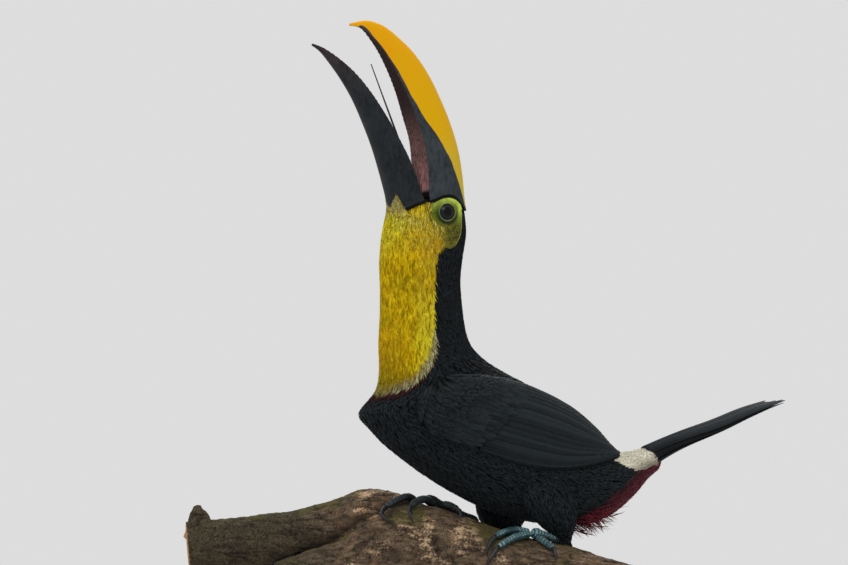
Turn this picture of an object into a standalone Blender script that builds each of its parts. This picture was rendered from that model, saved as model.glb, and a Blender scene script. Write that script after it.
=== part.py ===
"""Toucan on a forked perch: a still, life-size museum model on a display stand.

The bird faces -Y with its left side at +X, and its middle plane is X = 0. Its neck stands
upright and its open bill points up. The origin is the middle of the stand base's underside.

The body is modelled whole, as one loft through named sections from the seat of the bill to
the root of the tail, and is then parted into head, neck, trunk and rump by thin plane cuts.
Bill, tongue, tail, legs and perch are lofts and tapered sweeps along smooth tracks.
"""

import math

import bmesh
import bpy
from mathutils import Matrix, Vector

MM = 0.001
GAP = 0.3 * MM                     # thin cut between neighbouring solids
SEAT_GAP = 0.7                     # room that a faceted seat keeps round its neighbour

# Body sections: name, point on the back, point on the breast or belly (y, z), half width.
BODY_SECTIONS = (
    ("bill_seat", (-9, 449), (-74, 444), 19.0),
    ("face", (-7, 438), (-77, 433), 20.5),
    ("eyes", (-5, 425), (-80, 419), 23.5),
    ("cheek", (-5, 408), (-83, 402), 26.5),
    ("occiput", (-9, 389), (-84, 382), 28.0),
    ("neck_top", (-11, 367), (-83, 361), 29.0),
    ("neck_middle", (-10, 344), (-83, 337), 30.5),
    ("neck_low", (-7, 324), (-84, 312), 33.0),
    ("neck_base", (-2, 311), (-83, 288), 37.0),
    ("collar", (7, 302), (-87, 269), 41.0),
    ("breast", (19, 294), (-103, 251), 43.5),
    ("bust", (34, 286), (-93, 238), 45.0),
    ("shoulder", (49, 279), (-81, 226), 45.5),
    ("middle", (64, 271), (-64, 213), 45.5),
    ("back", (79, 263), (-42, 198), 44.5),
    ("belly", (94, 254), (-14, 182), 42.5),
    ("flank", (109, 242), (19, 167), 39.5),
    ("loin", (122, 230), (52, 158), 36.5),
    ("hip", (134, 220), (88, 154), 32.5),
    ("rump", (145, 216), (124.5, 159), 28.0),
    ("vent", (156, 217), (149, 175), 23.0),
    ("tail_root", (168, 219), (166, 192), 17.0),
    ("tail_seat", (178, 218), (178, 201), 12.5),
)
BODY_SECTIONS_PLAIN = tuple(section[1:] for section in BODY_SECTIONS)
BODY_SIDES = 24                    # points round each body section
BODY_STEPS = 2                     # rings for each space between two sections
NECK_CUTS = (3.35, 7.4)            # head | neck and neck | trunk, counted in sections
RUMP_CUT = 17.0                    # trunk | rump
CRISSUM_APEX = (152, 201)          # where black rump, cream and red coverts meet (y, z)
CRISSUM_ANGLE = 38.0               # slope of the border between rump and red coverts
COVERT_ANGLE = 14.0                # slope of the border between cream and red coverts
CREAM_ANGLE = 139.0                # slope of the border between rump and cream coverts

# Planes that the two halves of the bill sit on: a point (y, z) and a slope in degrees.
GAPE = (-49.5, 439.0)
UPPER_SEAT_SLOPE = -6.5
LOWER_SEAT_SLOPE = 15.5

# Upper bill: ridge point and middle of the cutting edges (y, z), half width.
UPPER_BILL = (
    ((-5, 427), (-47, 427), 20.8),
    ((-7, 440), (-47, 437), 20.6),
    ((-9, 460), (-47, 452), 19.4),
    ((-13, 482), (-48, 471), 18.4),
    ((-20, 504), (-51, 490), 16.8),
    ((-29, 525), (-58, 510), 14.8),
    ((-40, 546), (-65, 529), 12.4),
    ((-53, 564), (-74, 548), 9.8),
    ((-68, 578), (-84, 565), 7.4),
    ((-83, 588.5), (-93, 576.5), 5.2),
    ((-98, 592.5), (-103, 586), 3.2),
    ((-114, 590), (-114, 588), 1.2),
)
# Lower bill: keel point and middle of the cutting edges (y, z), half width.
LOWER_BILL = (
    ((-72, 420), (-51, 424), 19.0),
    ((-77, 435), (-52, 437), 18.8),
    ((-84, 459), (-62, 466), 18.0),
    ((-92, 483), (-73, 489), 16.0),
    ((-101, 504), (-85, 510), 13.6),
    ((-111, 524), (-98, 530), 10.8),
    ((-122, 541), (-112, 547), 8.0),
    ((-133, 555), (-127, 560), 5.2),
    ((-142, 565), (-139, 568), 3.0),
    ((-150, 570.5), (-149, 572), 1.2),
)
# Outline of half a bill section: share of the half width, share of the depth.
BILL_OUTLINE = (
    (0.0, 1.0), (0.34, 0.965), (0.66, 0.85), (0.88, 0.65), (0.985, 0.40), (1.0, 0.18),
    (0.975, 0.0), (0.87, 0.01), (0.72, 0.14), (0.40, 0.23), (0.0, 0.26),
)
TONGUE_TRACK = ((-52, 443), (-60, 468), (-72, 500), (-84, 530), (-94, 555))
TONGUE_HALF_WIDTHS = (5.0, 4.6, 3.6, 2.4, 1.0)
TONGUE_THICKNESS = 1.0

EYE_POSITION = (-31.4, 426.3)      # y, z
EYE_RADIUS = 10.0
EYE_STAND_OUT = 2.6                # how far the eyeball stands out of the head's side

# Tail: middle line (y, z), half width, drop of its side edges, half thickness in the middle.
TAIL_SECTIONS = (
    ((172, 210.5), 11.5, 0.0, 7.6),
    ((188, 218.5), 13.5, 1.0, 6.8),
    ((208, 228.5), 16.5, 2.4, 6.0),
    ((235, 239.5), 20.0, 3.6, 5.0),
    ((262, 250.5), 22.5, 4.4, 3.5),
    ((282, 256.5), 23.5, 4.8, 2.6),
    ((299, 260.5), 23.5, 5.0, 1.8),
)
TAIL_TIP_ROUNDING = 9.0            # how far the rounded corners stand back from the tips
TAIL_SEAT = 178.6                  # where the tail starts, just behind the body
TAIL_NOTCH = 5.0                   # depth of the notch between the two sides of the tail

# Folded wing: places on the body, section count and angle from the back, of its two edges.
WING_TOP = ((8.9, 92), (10.2, 52), (12.6, 25), (15.4, 15), (18.1, 12))
WING_BOTTOM = ((9.2, 108), (11.6, 124), (14.0, 112), (16.2, 86), (18.3, 32))
WING_LIFT = (1.1, 1.0, 1.0, 1.1, 2.2)
WING_THICKNESS = (3.0, 6.0, 5.5, 4.6, 1.8)
WING_EDGE = 0.8

# Thighs: centre (x, y, z), half width and half depth, from the belly to the heel.
THIGH_LEFT = (
    ((17, 56, 203), 11, 19), ((24, 60, 186), 18, 26), ((27, 66, 168), 17, 23), ((27, 72, 154), 12, 15),
    ((26, 76, 146), 8, 9), ((25, 78, 139.5), 5.4, 5.8),
)
THIGH_RIGHT = (
    ((-17, 50, 204), 11, 20), ((-24, 47, 188), 18, 27), ((-26, 44, 172), 17, 25),
    ((-26, 43, 162), 15, 22), ((-26, 43, 155), 12, 18), ((-25.5, 46, 149), 8, 12),
)
TARSUS_RADIUS = 3.7
HEEL_RADIUS = 4.4
HUB_RADIUS = 5.4
TOE_RADIUS = 3.3
CLAW_RADIUS = 2.2

# Perch: places along it and towards its near side, height of the middle, radius.
PERCH_HEADING = 66.0               # from +X to +Y, seen from above
PERCH_MAIN = (
    (162, 2, 74, 38), (130, 1, 83, 38), (68, 0, 101, 38), (7, 0, 119, 37), (-20, 2, 127, 37),
    (-45, 5, 134, 37), (-68, 9, 127, 38), (-99, 15, 109, 36), (-128, 20, 100, 34),
    (-158, 24, 90, 33),
)
PERCH_LIMB = (
    (-40, -16, 146, 24), (-66, -15, 155, 26), (-90, -15, 158.5, 27), (-116, -15, 151, 24.5),
    (-155, -14, 143, 23), (-190, -13, 138.5, 22.5), (-222, -12, 136, 22.5), (-246, -12, 134, 22),
)
PERCH_SIDES = 16
STUB_TRACK = ((-234, -6, 150, 7.5), (-232, -5, 161, 6.0), (-229, -4, 169, 3.2))

BASE_LENGTH = 320
BASE_WIDTH = 170
BASE_HEIGHT = 15
BASE_CORNER = 24
ROD_RADIUS = 6.0
ROD_PLACES = ((72, 0, 84), (-122, 19, 94))   # along and across the perch, height of the top


def remove_old_objects():
    """Empty the file of its objects."""
    for item in list(bpy.data.objects):
        bpy.data.objects.remove(item, do_unlink=True)


def collection(name):
    """Make a collection in the scene."""
    group = bpy.data.collections.new(name)
    bpy.context.scene.collection.children.link(group)
    return group


def finish(name, colour, roughness, coat=0.0):
    """Make a Principled material."""
    material = bpy.data.materials.new(name)
    material.use_nodes = True
    shader = material.node_tree.nodes["Principled BSDF"]
    shader.inputs["Base Color"].default_value = (*colour, 1.0)
    shader.inputs["Roughness"].default_value = roughness
    shader.inputs["Metallic"].default_value = 0.0
    shader.inputs["Coat Weight"].default_value = coat
    return material


def place(name, solid, material, group, smooth=True):
    """Turn a bmesh into a named object in metres, closed and facing out."""
    bmesh.ops.recalc_face_normals(solid, faces=solid.faces[:])
    mesh = bpy.data.meshes.new(name)
    solid.to_mesh(mesh)
    solid.free()
    mesh.transform(Matrix.Scale(MM, 4))
    mesh.materials.append(material)
    if smooth:
        mesh.shade_smooth()
        mesh.set_sharp_from_angle(angle=math.radians(40))
    item = bpy.data.objects.new(name, mesh)
    group.objects.link(item)
    return item


def flatten(value):
    """Give a nested tuple of numbers as one flat list."""
    if isinstance(value, (int, float)):
        return [float(value)]
    return [number for part in value for number in flatten(part)]


def track(stations, position):
    """Read a smooth curve through the stations at a place counted in stations."""
    last = len(stations) - 1
    index = min(max(int(math.floor(position)), 0), last - 1)
    share = position - index
    rows = [flatten(stations[min(max(index + step, 0), last)]) for step in (-1, 0, 1, 2)]
    result = []
    for before, start, end, after in zip(*rows):
        bend_in = (end - before) / 2
        bend_out = (after - start) / 2
        rest = start - end
        cubic = 2 * rest + bend_in + bend_out
        square = -3 * rest - 2 * bend_in - bend_out
        result.append(((cubic * share + square) * share + bend_in) * share + start)
    return result


def resampled(stations, steps):
    """Read a track at even steps, with all its stations among them."""
    count = (len(stations) - 1) * steps
    return [track(stations, index / steps) for index in range(count + 1)]


def loft(rings):
    """Join rings of points into one closed solid with flat ends."""
    solid = bmesh.new()
    rows = [[solid.verts.new(point) for point in ring] for ring in rings]
    size = len(rows[0])
    for first, second in zip(rows, rows[1:]):
        for index in range(size):
            after = (index + 1) % size
            solid.faces.new((first[index], first[after], second[after], second[index]))
    solid.faces.new(rows[0])
    solid.faces.new(list(reversed(rows[-1])))
    return solid


def slab(upper, lower):
    """Join two grids of points of one size into a closed plate."""
    solid = bmesh.new()
    top = [[solid.verts.new(point) for point in row] for row in upper]
    bottom = [[solid.verts.new(point) for point in row] for row in lower]
    rows = len(top)
    columns = len(top[0])
    for row in range(rows - 1):
        for column in range(columns - 1):
            corners = ((row, column), (row + 1, column), (row + 1, column + 1), (row, column + 1))
            solid.faces.new([top[a][b] for a, b in corners])
            solid.faces.new([bottom[a][b] for a, b in reversed(corners)])
    border = [(0, column) for column in range(columns)]
    border += [(row, columns - 1) for row in range(1, rows)]
    border += [(rows - 1, column) for column in reversed(range(columns - 1))]
    border += [(row, 0) for row in reversed(range(1, rows - 1))]
    for (a, b), (c, d) in zip(border, border[1:] + border[:1]):
        solid.faces.new((top[a][b], top[c][d], bottom[c][d], bottom[a][b]))
    return solid


def sweep(path, radii, sides=10, flatness=1.0):
    """Sweep a round section with changing radius along a path of points."""
    rings = []
    side = Vector((1.0, 0.0, 0.0))
    for index, point in enumerate(path):
        ahead = path[min(index + 1, len(path) - 1)] - path[max(index - 1, 0)]
        ahead.normalize()
        side = side - ahead * side.dot(ahead)
        if side.length < 0.2:
            side = ahead.orthogonal()
        side.normalize()
        up = ahead.cross(side)
        ring = []
        for step in range(sides):
            turn = math.tau * step / sides
            ring.append(point + radii[index] * (side * math.cos(turn)
                                                + up * math.sin(turn) * flatness))
        rings.append(ring)
    return loft(rings)


def cut_flat(solid, point, direction):
    """Cut away what lies past a plane on the side its direction points to, and close it."""
    geometry = solid.verts[:] + solid.edges[:] + solid.faces[:]
    bmesh.ops.bisect_plane(solid, geom=geometry, dist=1e-5, plane_co=point, plane_no=direction,
                           clear_outer=True)
    border = [edge for edge in solid.edges if edge.is_boundary]
    bmesh.ops.holes_fill(solid, edges=border, sides=0)
    return solid


def carve(item, cutter):
    """Apply an exact Boolean difference to an object and drop the modifier."""
    modifier = item.modifiers.new("carve", "BOOLEAN")
    modifier.operation = "DIFFERENCE"
    modifier.solver = "EXACT"
    modifier.object = cutter
    bpy.context.view_layer.update()
    graph = bpy.context.evaluated_depsgraph_get()
    mesh = bpy.data.meshes.new_from_object(item.evaluated_get(graph))
    item.modifiers.remove(modifier)
    item.data = mesh


def as_cutter(item):
    """Mark an object as a construction aid."""
    item.hide_render = True
    item.display_type = "WIRE"
    return item


# ---------------------------------------------------------------- body


def body_frame(position):
    """Give centre, direction to the back, half depth and half width of a body section."""
    back_y, back_z, front_y, front_z, half_width = track(BODY_SECTIONS_PLAIN, position)
    back = Vector((0.0, back_y, back_z))
    front = Vector((0.0, front_y, front_z))
    span = back - front
    return (back + front) / 2, span.normalized(), span.length / 2, half_width


def body_point(position, angle, swell=0.0):
    """Give a point of the body's surface; the angle runs from the back round to the breast."""
    centre, backward, half_depth, half_width = body_frame(position)
    turn = math.radians(angle)
    deep = (half_depth + swell) * math.cos(turn)
    wide = (half_width + swell) * math.sin(turn)
    return centre + backward * deep + Vector((wide, 0.0, 0.0))


def body_normal(position, angle):
    """Give the direction straight out of the body's surface."""
    along = body_point(position + 0.05, angle) - body_point(position - 0.05, angle)
    around = body_point(position, angle + 1.0) - body_point(position, angle - 1.0)
    normal = along.cross(around).normalized()
    outward = body_point(position, angle) - body_frame(position)[0]
    return normal if normal.dot(outward) > 0 else -normal


def body_solid(swell=0.0):
    """Loft the whole body from the seat of the bill to the seat of the tail."""
    count = (len(BODY_SECTIONS_PLAIN) - 1) * BODY_STEPS
    rings = []
    for index in range(count + 1):
        position = index / BODY_STEPS
        angles = [360.0 * step / BODY_SIDES for step in range(BODY_SIDES)]
        rings.append([body_point(position, angle, swell) for angle in angles])
    return loft(rings)


def section_plane(position):
    """Give a point and the direction towards the tail of the plane of a body section."""
    centre, backward, _, _ = body_frame(position)
    towards_tail = Vector((1.0, 0.0, 0.0)).cross(backward)
    ahead = body_frame(position + 0.1)[0] - centre
    return centre, towards_tail if towards_tail.dot(ahead) > 0 else -towards_tail


def trim_at_section(solid, position, keep_head_side):
    """Part the body at a section and keep one side, half a gap back from the cut."""
    point, towards_tail = section_plane(position)
    away = towards_tail if keep_head_side else -towards_tail
    return cut_flat(solid, point - away * (GAP / MM / 2), away)


def sloped_plane(point, slope, upward):
    """Give a point and direction of a plane across the body that climbs towards the tail."""
    turn = math.radians(slope)
    normal = Vector((0.0, -math.sin(turn), math.cos(turn)))
    return Vector((0.0, *point)), normal if upward else -normal


def trim_at_slope(solid, point, slope, keep_below):
    """Part a solid at a sloped plane, half a gap back from the cut."""
    centre, away = sloped_plane(point, slope, keep_below)
    return cut_flat(solid, centre - away * (GAP / MM / 2), away)


def build_head(group, material):
    """Head with a roof-shaped seat for the bill."""
    solid = trim_at_section(body_solid(), NECK_CUTS[0], True)
    trim_at_slope(solid, GAPE, UPPER_SEAT_SLOPE, True)
    trim_at_slope(solid, GAPE, LOWER_SEAT_SLOPE, True)
    return place("head", solid, material, group)


def build_neck(group, material):
    """Neck between the two neck cuts."""
    solid = trim_at_section(body_solid(), NECK_CUTS[0], False)
    trim_at_section(solid, NECK_CUTS[1], True)
    return place("neck", solid, material, group)


def build_trunk(group, material):
    """Trunk from the neck to the loin."""
    solid = trim_at_section(body_solid(), NECK_CUTS[1], False)
    trim_at_section(solid, RUMP_CUT, True)
    return place("trunk", solid, material, group)


def build_rump(group, black, cream, red):
    """Black rump, cream coverts above the tail and red coverts under it."""
    rump = trim_at_section(body_solid(), RUMP_CUT, False)
    trim_at_slope(rump, CRISSUM_APEX, CRISSUM_ANGLE, False)
    trim_at_slope(rump, CRISSUM_APEX, CREAM_ANGLE, False)
    place("rump", rump, black, group)
    above = trim_at_section(body_solid(), RUMP_CUT, False)
    trim_at_slope(above, CRISSUM_APEX, COVERT_ANGLE, False)
    trim_at_slope(above, CRISSUM_APEX, CREAM_ANGLE, True)
    place("uppertail_coverts", above, cream, group)
    below = trim_at_section(body_solid(), RUMP_CUT, False)
    trim_at_slope(below, CRISSUM_APEX, COVERT_ANGLE, True)
    trim_at_slope(below, CRISSUM_APEX, CRISSUM_ANGLE, True)
    place("undertail_coverts", below, red, group)


def build_wing(name, side, group, material):
    """Folded wing: a plate that lies over the body's side from the shoulder to the rump."""
    upper = []
    lower = []
    lengthwise = 15
    across = 7
    for row in range(lengthwise + 1):
        along = 4.0 * (1 - math.cos(math.pi * row / lengthwise)) / 2
        top_place, top_angle = track(WING_TOP, along)
        bottom_place, bottom_angle = track(WING_BOTTOM, along)
        lift = track([(value,) for value in WING_LIFT], along)[0]
        middle = track([(value,) for value in WING_THICKNESS], along)[0]
        outer_row = []
        inner_row = []
        for column in range(across + 1):
            share = column / across
            position = top_place + (bottom_place - top_place) * share
            angle = top_angle + (bottom_angle - top_angle) * share
            round_off = (1 - (2 * share - 1) ** 2) ** 0.6
            end_off = min(1.0, 4.0 * math.sin(math.pi * row / lengthwise)) if row < 8 else 1.0
            thickness = WING_EDGE + (middle - WING_EDGE) * round_off * end_off
            point = body_point(position, angle)
            normal = body_normal(position, angle)
            inner = point + normal * lift
            outer = point + normal * (lift + thickness)
            inner_row.append(Vector((side * inner.x, inner.y, inner.z)))
            outer_row.append(Vector((side * outer.x, outer.y, outer.z)))
        upper.append(outer_row)
        lower.append(inner_row)
    return place(name, slab(upper, lower), material, group)


def build_tail(group, material):
    """Closed tail: a thin arched plate with two rounded tips."""
    rows = resampled(TAIL_SECTIONS, 2)
    across = 8
    upper = []
    lower = []
    for index, (mid_y, mid_z, half_width, drop, half_thick) in enumerate(rows):
        y_after, z_after = rows[min(index + 1, len(rows) - 1)][:2]
        y_before, z_before = rows[max(index - 1, 0)][:2]
        ahead = Vector((0.0, y_after - y_before, z_after - z_before)).normalized()
        up = Vector((1.0, 0.0, 0.0)).cross(ahead)
        reach = (index / (len(rows) - 1)) ** 6
        upper_row = []
        lower_row = []
        for column in range(across + 1):
            share = 2.0 * column / across - 1.0
            corner = TAIL_TIP_ROUNDING * abs(share) ** 4
            notch = TAIL_NOTCH * max(0.0, 1.0 - abs(share) * 4.0)
            centre = Vector((half_width * share, mid_y, mid_z))
            centre += ahead * (-reach * (corner + notch)) - up * (drop * share * share)
            thick = max(0.45, half_thick * math.sqrt(max(0.0, 1.0 - share * share)))
            upper_row.append(centre + up * thick)
            lower_row.append(centre - up * thick)
        upper.append(upper_row)
        lower.append(lower_row)
    solid = slab(upper, lower)
    cut_flat(solid, Vector((0.0, TAIL_SEAT, 0.0)), Vector((0.0, -1.0, 0.0)))
    return place("tail", solid, material, group)


# ---------------------------------------------------------------- bill, tongue and eyes


def bill_solid(sections):
    """Loft one half of the bill: ridge outside, hollowed face towards the mouth."""
    rings = []
    rows = resampled(sections, 1)
    for index, (ridge_y, ridge_z, edge_y, edge_z, half_width) in enumerate(rows):
        edge = Vector((0.0, edge_y, edge_z))
        depth = Vector((0.0, ridge_y, ridge_z)) - edge
        hollow = 1.0 - (index / (len(rows) - 1)) ** 3
        half = []
        for place_index, (wide, deep) in enumerate(BILL_OUTLINE):
            if place_index > 6:
                deep = deep * hollow
            half.append((wide * half_width, deep))
        mirrored = [(-wide, deep) for wide, deep in reversed(half[1:-1])]
        rings.append([edge + depth * deep + Vector((wide, 0, 0)) for wide, deep in half + mirrored])
    return loft(rings)


def build_bill(group, yellow, black):
    """Upper and lower bill, seated on the head's sloped planes."""
    upper = trim_at_slope(bill_solid(UPPER_BILL), GAPE, UPPER_SEAT_SLOPE, False)
    place("bill_upper", upper, yellow, group)
    lower = trim_at_slope(bill_solid(LOWER_BILL), GAPE, LOWER_SEAT_SLOPE, False)
    place("bill_lower", lower, black, group)


def build_tongue(group, material):
    """Long thin tongue, a narrow blade between the two halves of the bill."""
    upper = []
    lower = []
    rows = resampled([(*point, width) for point, width in zip(TONGUE_TRACK, TONGUE_HALF_WIDTHS)], 2)
    for mid_y, mid_z, half_width in rows:
        centre = Vector((0.0, mid_y, mid_z))
        thin = Vector((0.0, TONGUE_THICKNESS / 2, 0.0))
        shares = (-1.0, -0.5, 0.0, 0.5, 1.0)
        upper.append([centre + thin + Vector((half_width * share, 0, 0)) for share in shares])
        lower.append([centre - thin + Vector((half_width * share, 0, 0)) for share in shares])
    return place("tongue", slab(upper, lower), material, group)


def head_side(y, z):
    """Give the half width of the head at a height and depth in its middle plane."""
    low, high = 0.0, 5.0
    for _ in range(40):
        middle = (low + high) / 2
        point, towards_tail = section_plane(middle)
        if (Vector((0.0, y, z)) - point).dot(towards_tail) > 0:
            low = middle
        else:
            high = middle
    centre, backward, half_depth, half_width = body_frame(low)
    share = (Vector((0.0, y, z)) - centre).dot(backward) / half_depth
    return half_width * math.sqrt(max(0.0, 1.0 - share * share))


def build_eyes(head, group, cutters, material):
    """Eyeballs in round sockets that are cut in the head."""
    depth = head_side(*EYE_POSITION) + EYE_STAND_OUT - EYE_RADIUS
    for name, side in (("left", 1.0), ("right", -1.0)):
        centre = Matrix.Translation((side * depth, *EYE_POSITION))
        turn = Matrix.Rotation(math.radians(90.0), 4, "Y")
        ball = bmesh.new()
        bmesh.ops.create_uvsphere(ball, u_segments=16, v_segments=10, radius=EYE_RADIUS,
                                  matrix=centre @ turn)
        place("eye_" + name, ball, material, group)
        socket = bmesh.new()
        bmesh.ops.create_uvsphere(socket, u_segments=16, v_segments=10,
                                  radius=EYE_RADIUS + 0.4, matrix=centre @ turn)
        cutter = as_cutter(place("socket_" + name, socket, material, cutters))
        carve(head, cutter)


# ---------------------------------------------------------------- perch and stand


def heading_point(along, across, height):
    """Turn a place along and across the perch into the model's frame."""
    turn = math.radians(PERCH_HEADING)
    x = along * math.cos(turn) + across * math.sin(turn)
    y = along * math.sin(turn) - across * math.cos(turn)
    return Vector((x, y, height))


def limb_frame(stations, position):
    """Give centre, radius and the up and near directions of a limb's section."""
    along, across, height, radius = track(stations, position)
    before = track(stations, position - 0.05)
    after = track(stations, position + 0.05)
    ahead = heading_point(*after[:3]) - heading_point(*before[:3])
    ahead.normalize()
    near = heading_point(0, 1, 0)
    near = (near - ahead * near.dot(ahead)).normalized()
    up = near.cross(ahead)
    if up.z < 0:
        up = -up
    return heading_point(along, across, height), radius, up, near


def limb_point(stations, position, angle, lift=0.0):
    """Give a point of a limb's bark; the angle runs from the top to the near side."""
    centre, radius, up, near = limb_frame(stations, position)
    turn = math.radians(angle)
    swell = 0.025 * math.sin(3 * turn + 1.7 * position) + 0.02 * math.sin(2 * turn - position)
    reach = radius * (1.0 + swell) + lift
    return centre + (up * math.cos(turn) + near * math.sin(turn)) * reach


def limb_solid(stations, steps, swell=0.0):
    """Loft a limb of the perch through its stations, with sawn flat ends."""
    count = (len(stations) - 1) * steps
    rings = []
    for index in range(count + 1):
        angles = [360.0 * side / PERCH_SIDES for side in range(PERCH_SIDES)]
        rings.append([limb_point(stations, index / steps, angle, swell) for angle in angles])
    return loft(rings)


def build_perch(group, cutters, bark):
    """Forked perch: a main stem, the limb that leaves its hump and a broken stub."""
    stem = place("perch_stem", limb_solid(PERCH_MAIN, 2), bark, group)
    limb = place("perch_limb", limb_solid(PERCH_LIMB, 2), bark, group)
    fork = as_cutter(place("fork_seat", limb_solid(PERCH_MAIN, 2, SEAT_GAP), bark, cutters))
    carve(limb, fork)
    path = [heading_point(*row[:3]) for row in resampled(STUB_TRACK, 2)]
    radii = [row[3] for row in resampled(STUB_TRACK, 2)]
    stub = place("perch_stub", sweep(path, radii, 10), bark, group)
    seat = as_cutter(place("stub_seat", limb_solid(PERCH_LIMB, 2, SEAT_GAP), bark, cutters))
    carve(stub, seat)
    for index, (along, across, top) in enumerate(ROD_PLACES):
        hole = bmesh.new()
        middle = Matrix.Translation(heading_point(along, across, top / 2 + 0.5))
        bmesh.ops.create_cone(hole, cap_ends=True, segments=20, radius1=ROD_RADIUS + 0.35,
                              radius2=ROD_RADIUS + 0.35, depth=top, matrix=middle)
        carve(stem, as_cutter(place(f"rod_hole_{index}", hole, bark, cutters)))
    return stem


def build_stand(group, wood, steel):
    """Flat base with rounded corners and two rods up into the perch."""
    half_length = BASE_LENGTH / 2 - BASE_CORNER
    half_width = BASE_WIDTH / 2 - BASE_CORNER
    corners = ((half_length, half_width, 0), (-half_length, half_width, 90),
               (-half_length, -half_width, 180), (half_length, -half_width, 270))
    outline = []
    for along, across, start in corners:
        for step in range(5):
            turn = math.radians(start + 22.5 * step)
            outline.append((along + BASE_CORNER * math.cos(turn),
                            across + BASE_CORNER * math.sin(turn)))
    levels = ((0.0, 0.0), (0.0, BASE_HEIGHT - 2.0), (2.0, BASE_HEIGHT))
    rings = []
    for inset, height in levels:
        shrink_x = 1.0 - 2.0 * inset / BASE_LENGTH
        shrink_y = 1.0 - 2.0 * inset / BASE_WIDTH
        rings.append([heading_point(x * shrink_x, y * shrink_y, height) for x, y in outline])
    place("stand_base", loft(rings), wood, group, smooth=False)
    for index, (along, across, top) in enumerate(ROD_PLACES):
        rod = bmesh.new()
        bottom = BASE_HEIGHT + GAP / MM
        middle = Matrix.Translation(heading_point(along, across, (bottom + top) / 2))
        bmesh.ops.create_cone(rod, cap_ends=True, segments=20, radius1=ROD_RADIUS,
                              radius2=ROD_RADIUS, depth=top - bottom, matrix=middle)
        place(f"stand_rod_{index + 1}", rod, steel, group)


# ---------------------------------------------------------------- legs


def build_thigh(name, sections, body, group, material):
    """Feathered thigh from the belly to the heel, cut back to the body's surface."""
    rings = []
    for x, y, z, half_width, half_depth in resampled(sections, 2):
        ring = []
        for step in range(16):
            turn = math.tau * step / 16
            ring.append(Vector((x + half_width * math.cos(turn),
                                y + half_depth * math.sin(turn), z)))
        rings.append(ring)
    thigh = place(name, loft(rings), material, group)
    carve(thigh, body)
    return thigh


def tarsus_solid(heel, hub, swell=0.0):
    """Sweep the tarsus from the swollen heel to the hub that the toes leave."""
    stations = [(heel.lerp(hub, share), radius + swell) for share, radius in (
        (-0.02, 2.6), (0.05, HEEL_RADIUS), (0.13, HEEL_RADIUS), (0.24, TARSUS_RADIUS),
        (0.55, TARSUS_RADIUS - 0.3), (0.86, TARSUS_RADIUS + 0.4), (0.97, HUB_RADIUS - 0.4),
        (1.06, HUB_RADIUS - 1.0), (1.12, 2.4))]
    if swell:
        stations.insert(0, (heel.lerp(hub, -0.04), 0.5))
    return sweep([row[0] for row in stations], [row[1] for row in stations], 10)


def build_toe(name, points, claw_points, group, skin, horn):
    """One toe with swollen pads, and its curved claw."""
    stations = [(point.x, point.y, point.z) for point in points]
    rows = resampled(stations, 3)
    last = len(rows) - 1
    radii = []
    for index in range(last + 1):
        share = index / last
        pad = 1.0 + 0.07 * math.cos(math.tau * 2.5 * share)
        radii.append(TOE_RADIUS * (1.0 - 0.2 * share) * pad)
    radii[0] *= 0.72
    radii[-1] *= 0.72
    place(name, sweep([Vector(row) for row in rows], radii, 8), skin, group)
    claw_rows = resampled([(point.x, point.y, point.z) for point in claw_points], 3)
    count = len(claw_rows) - 1
    widths = [CLAW_RADIUS * (1.0 - index / count) ** 0.7 + 0.35 for index in range(count + 1)]
    path = [Vector(row) for row in claw_rows]
    place(name.replace("toe", "claw"), sweep(path, widths, 6), horn, group)


def build_foot(side_name, heel, hub, toes, group, skin, horn):
    """Tarsus, four toes and four claws of one foot."""
    place("tarsus_" + side_name, tarsus_solid(heel, hub), skin, group)
    for index, (toe_points, claw_points) in enumerate(toes):
        build_toe(f"toe_{side_name}_{index + 1}", toe_points, claw_points, group, skin, horn)


def stem_place(position, angle, lift):
    """Give a point over the perch's stem."""
    return limb_point(PERCH_MAIN, position, angle, lift)


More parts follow.
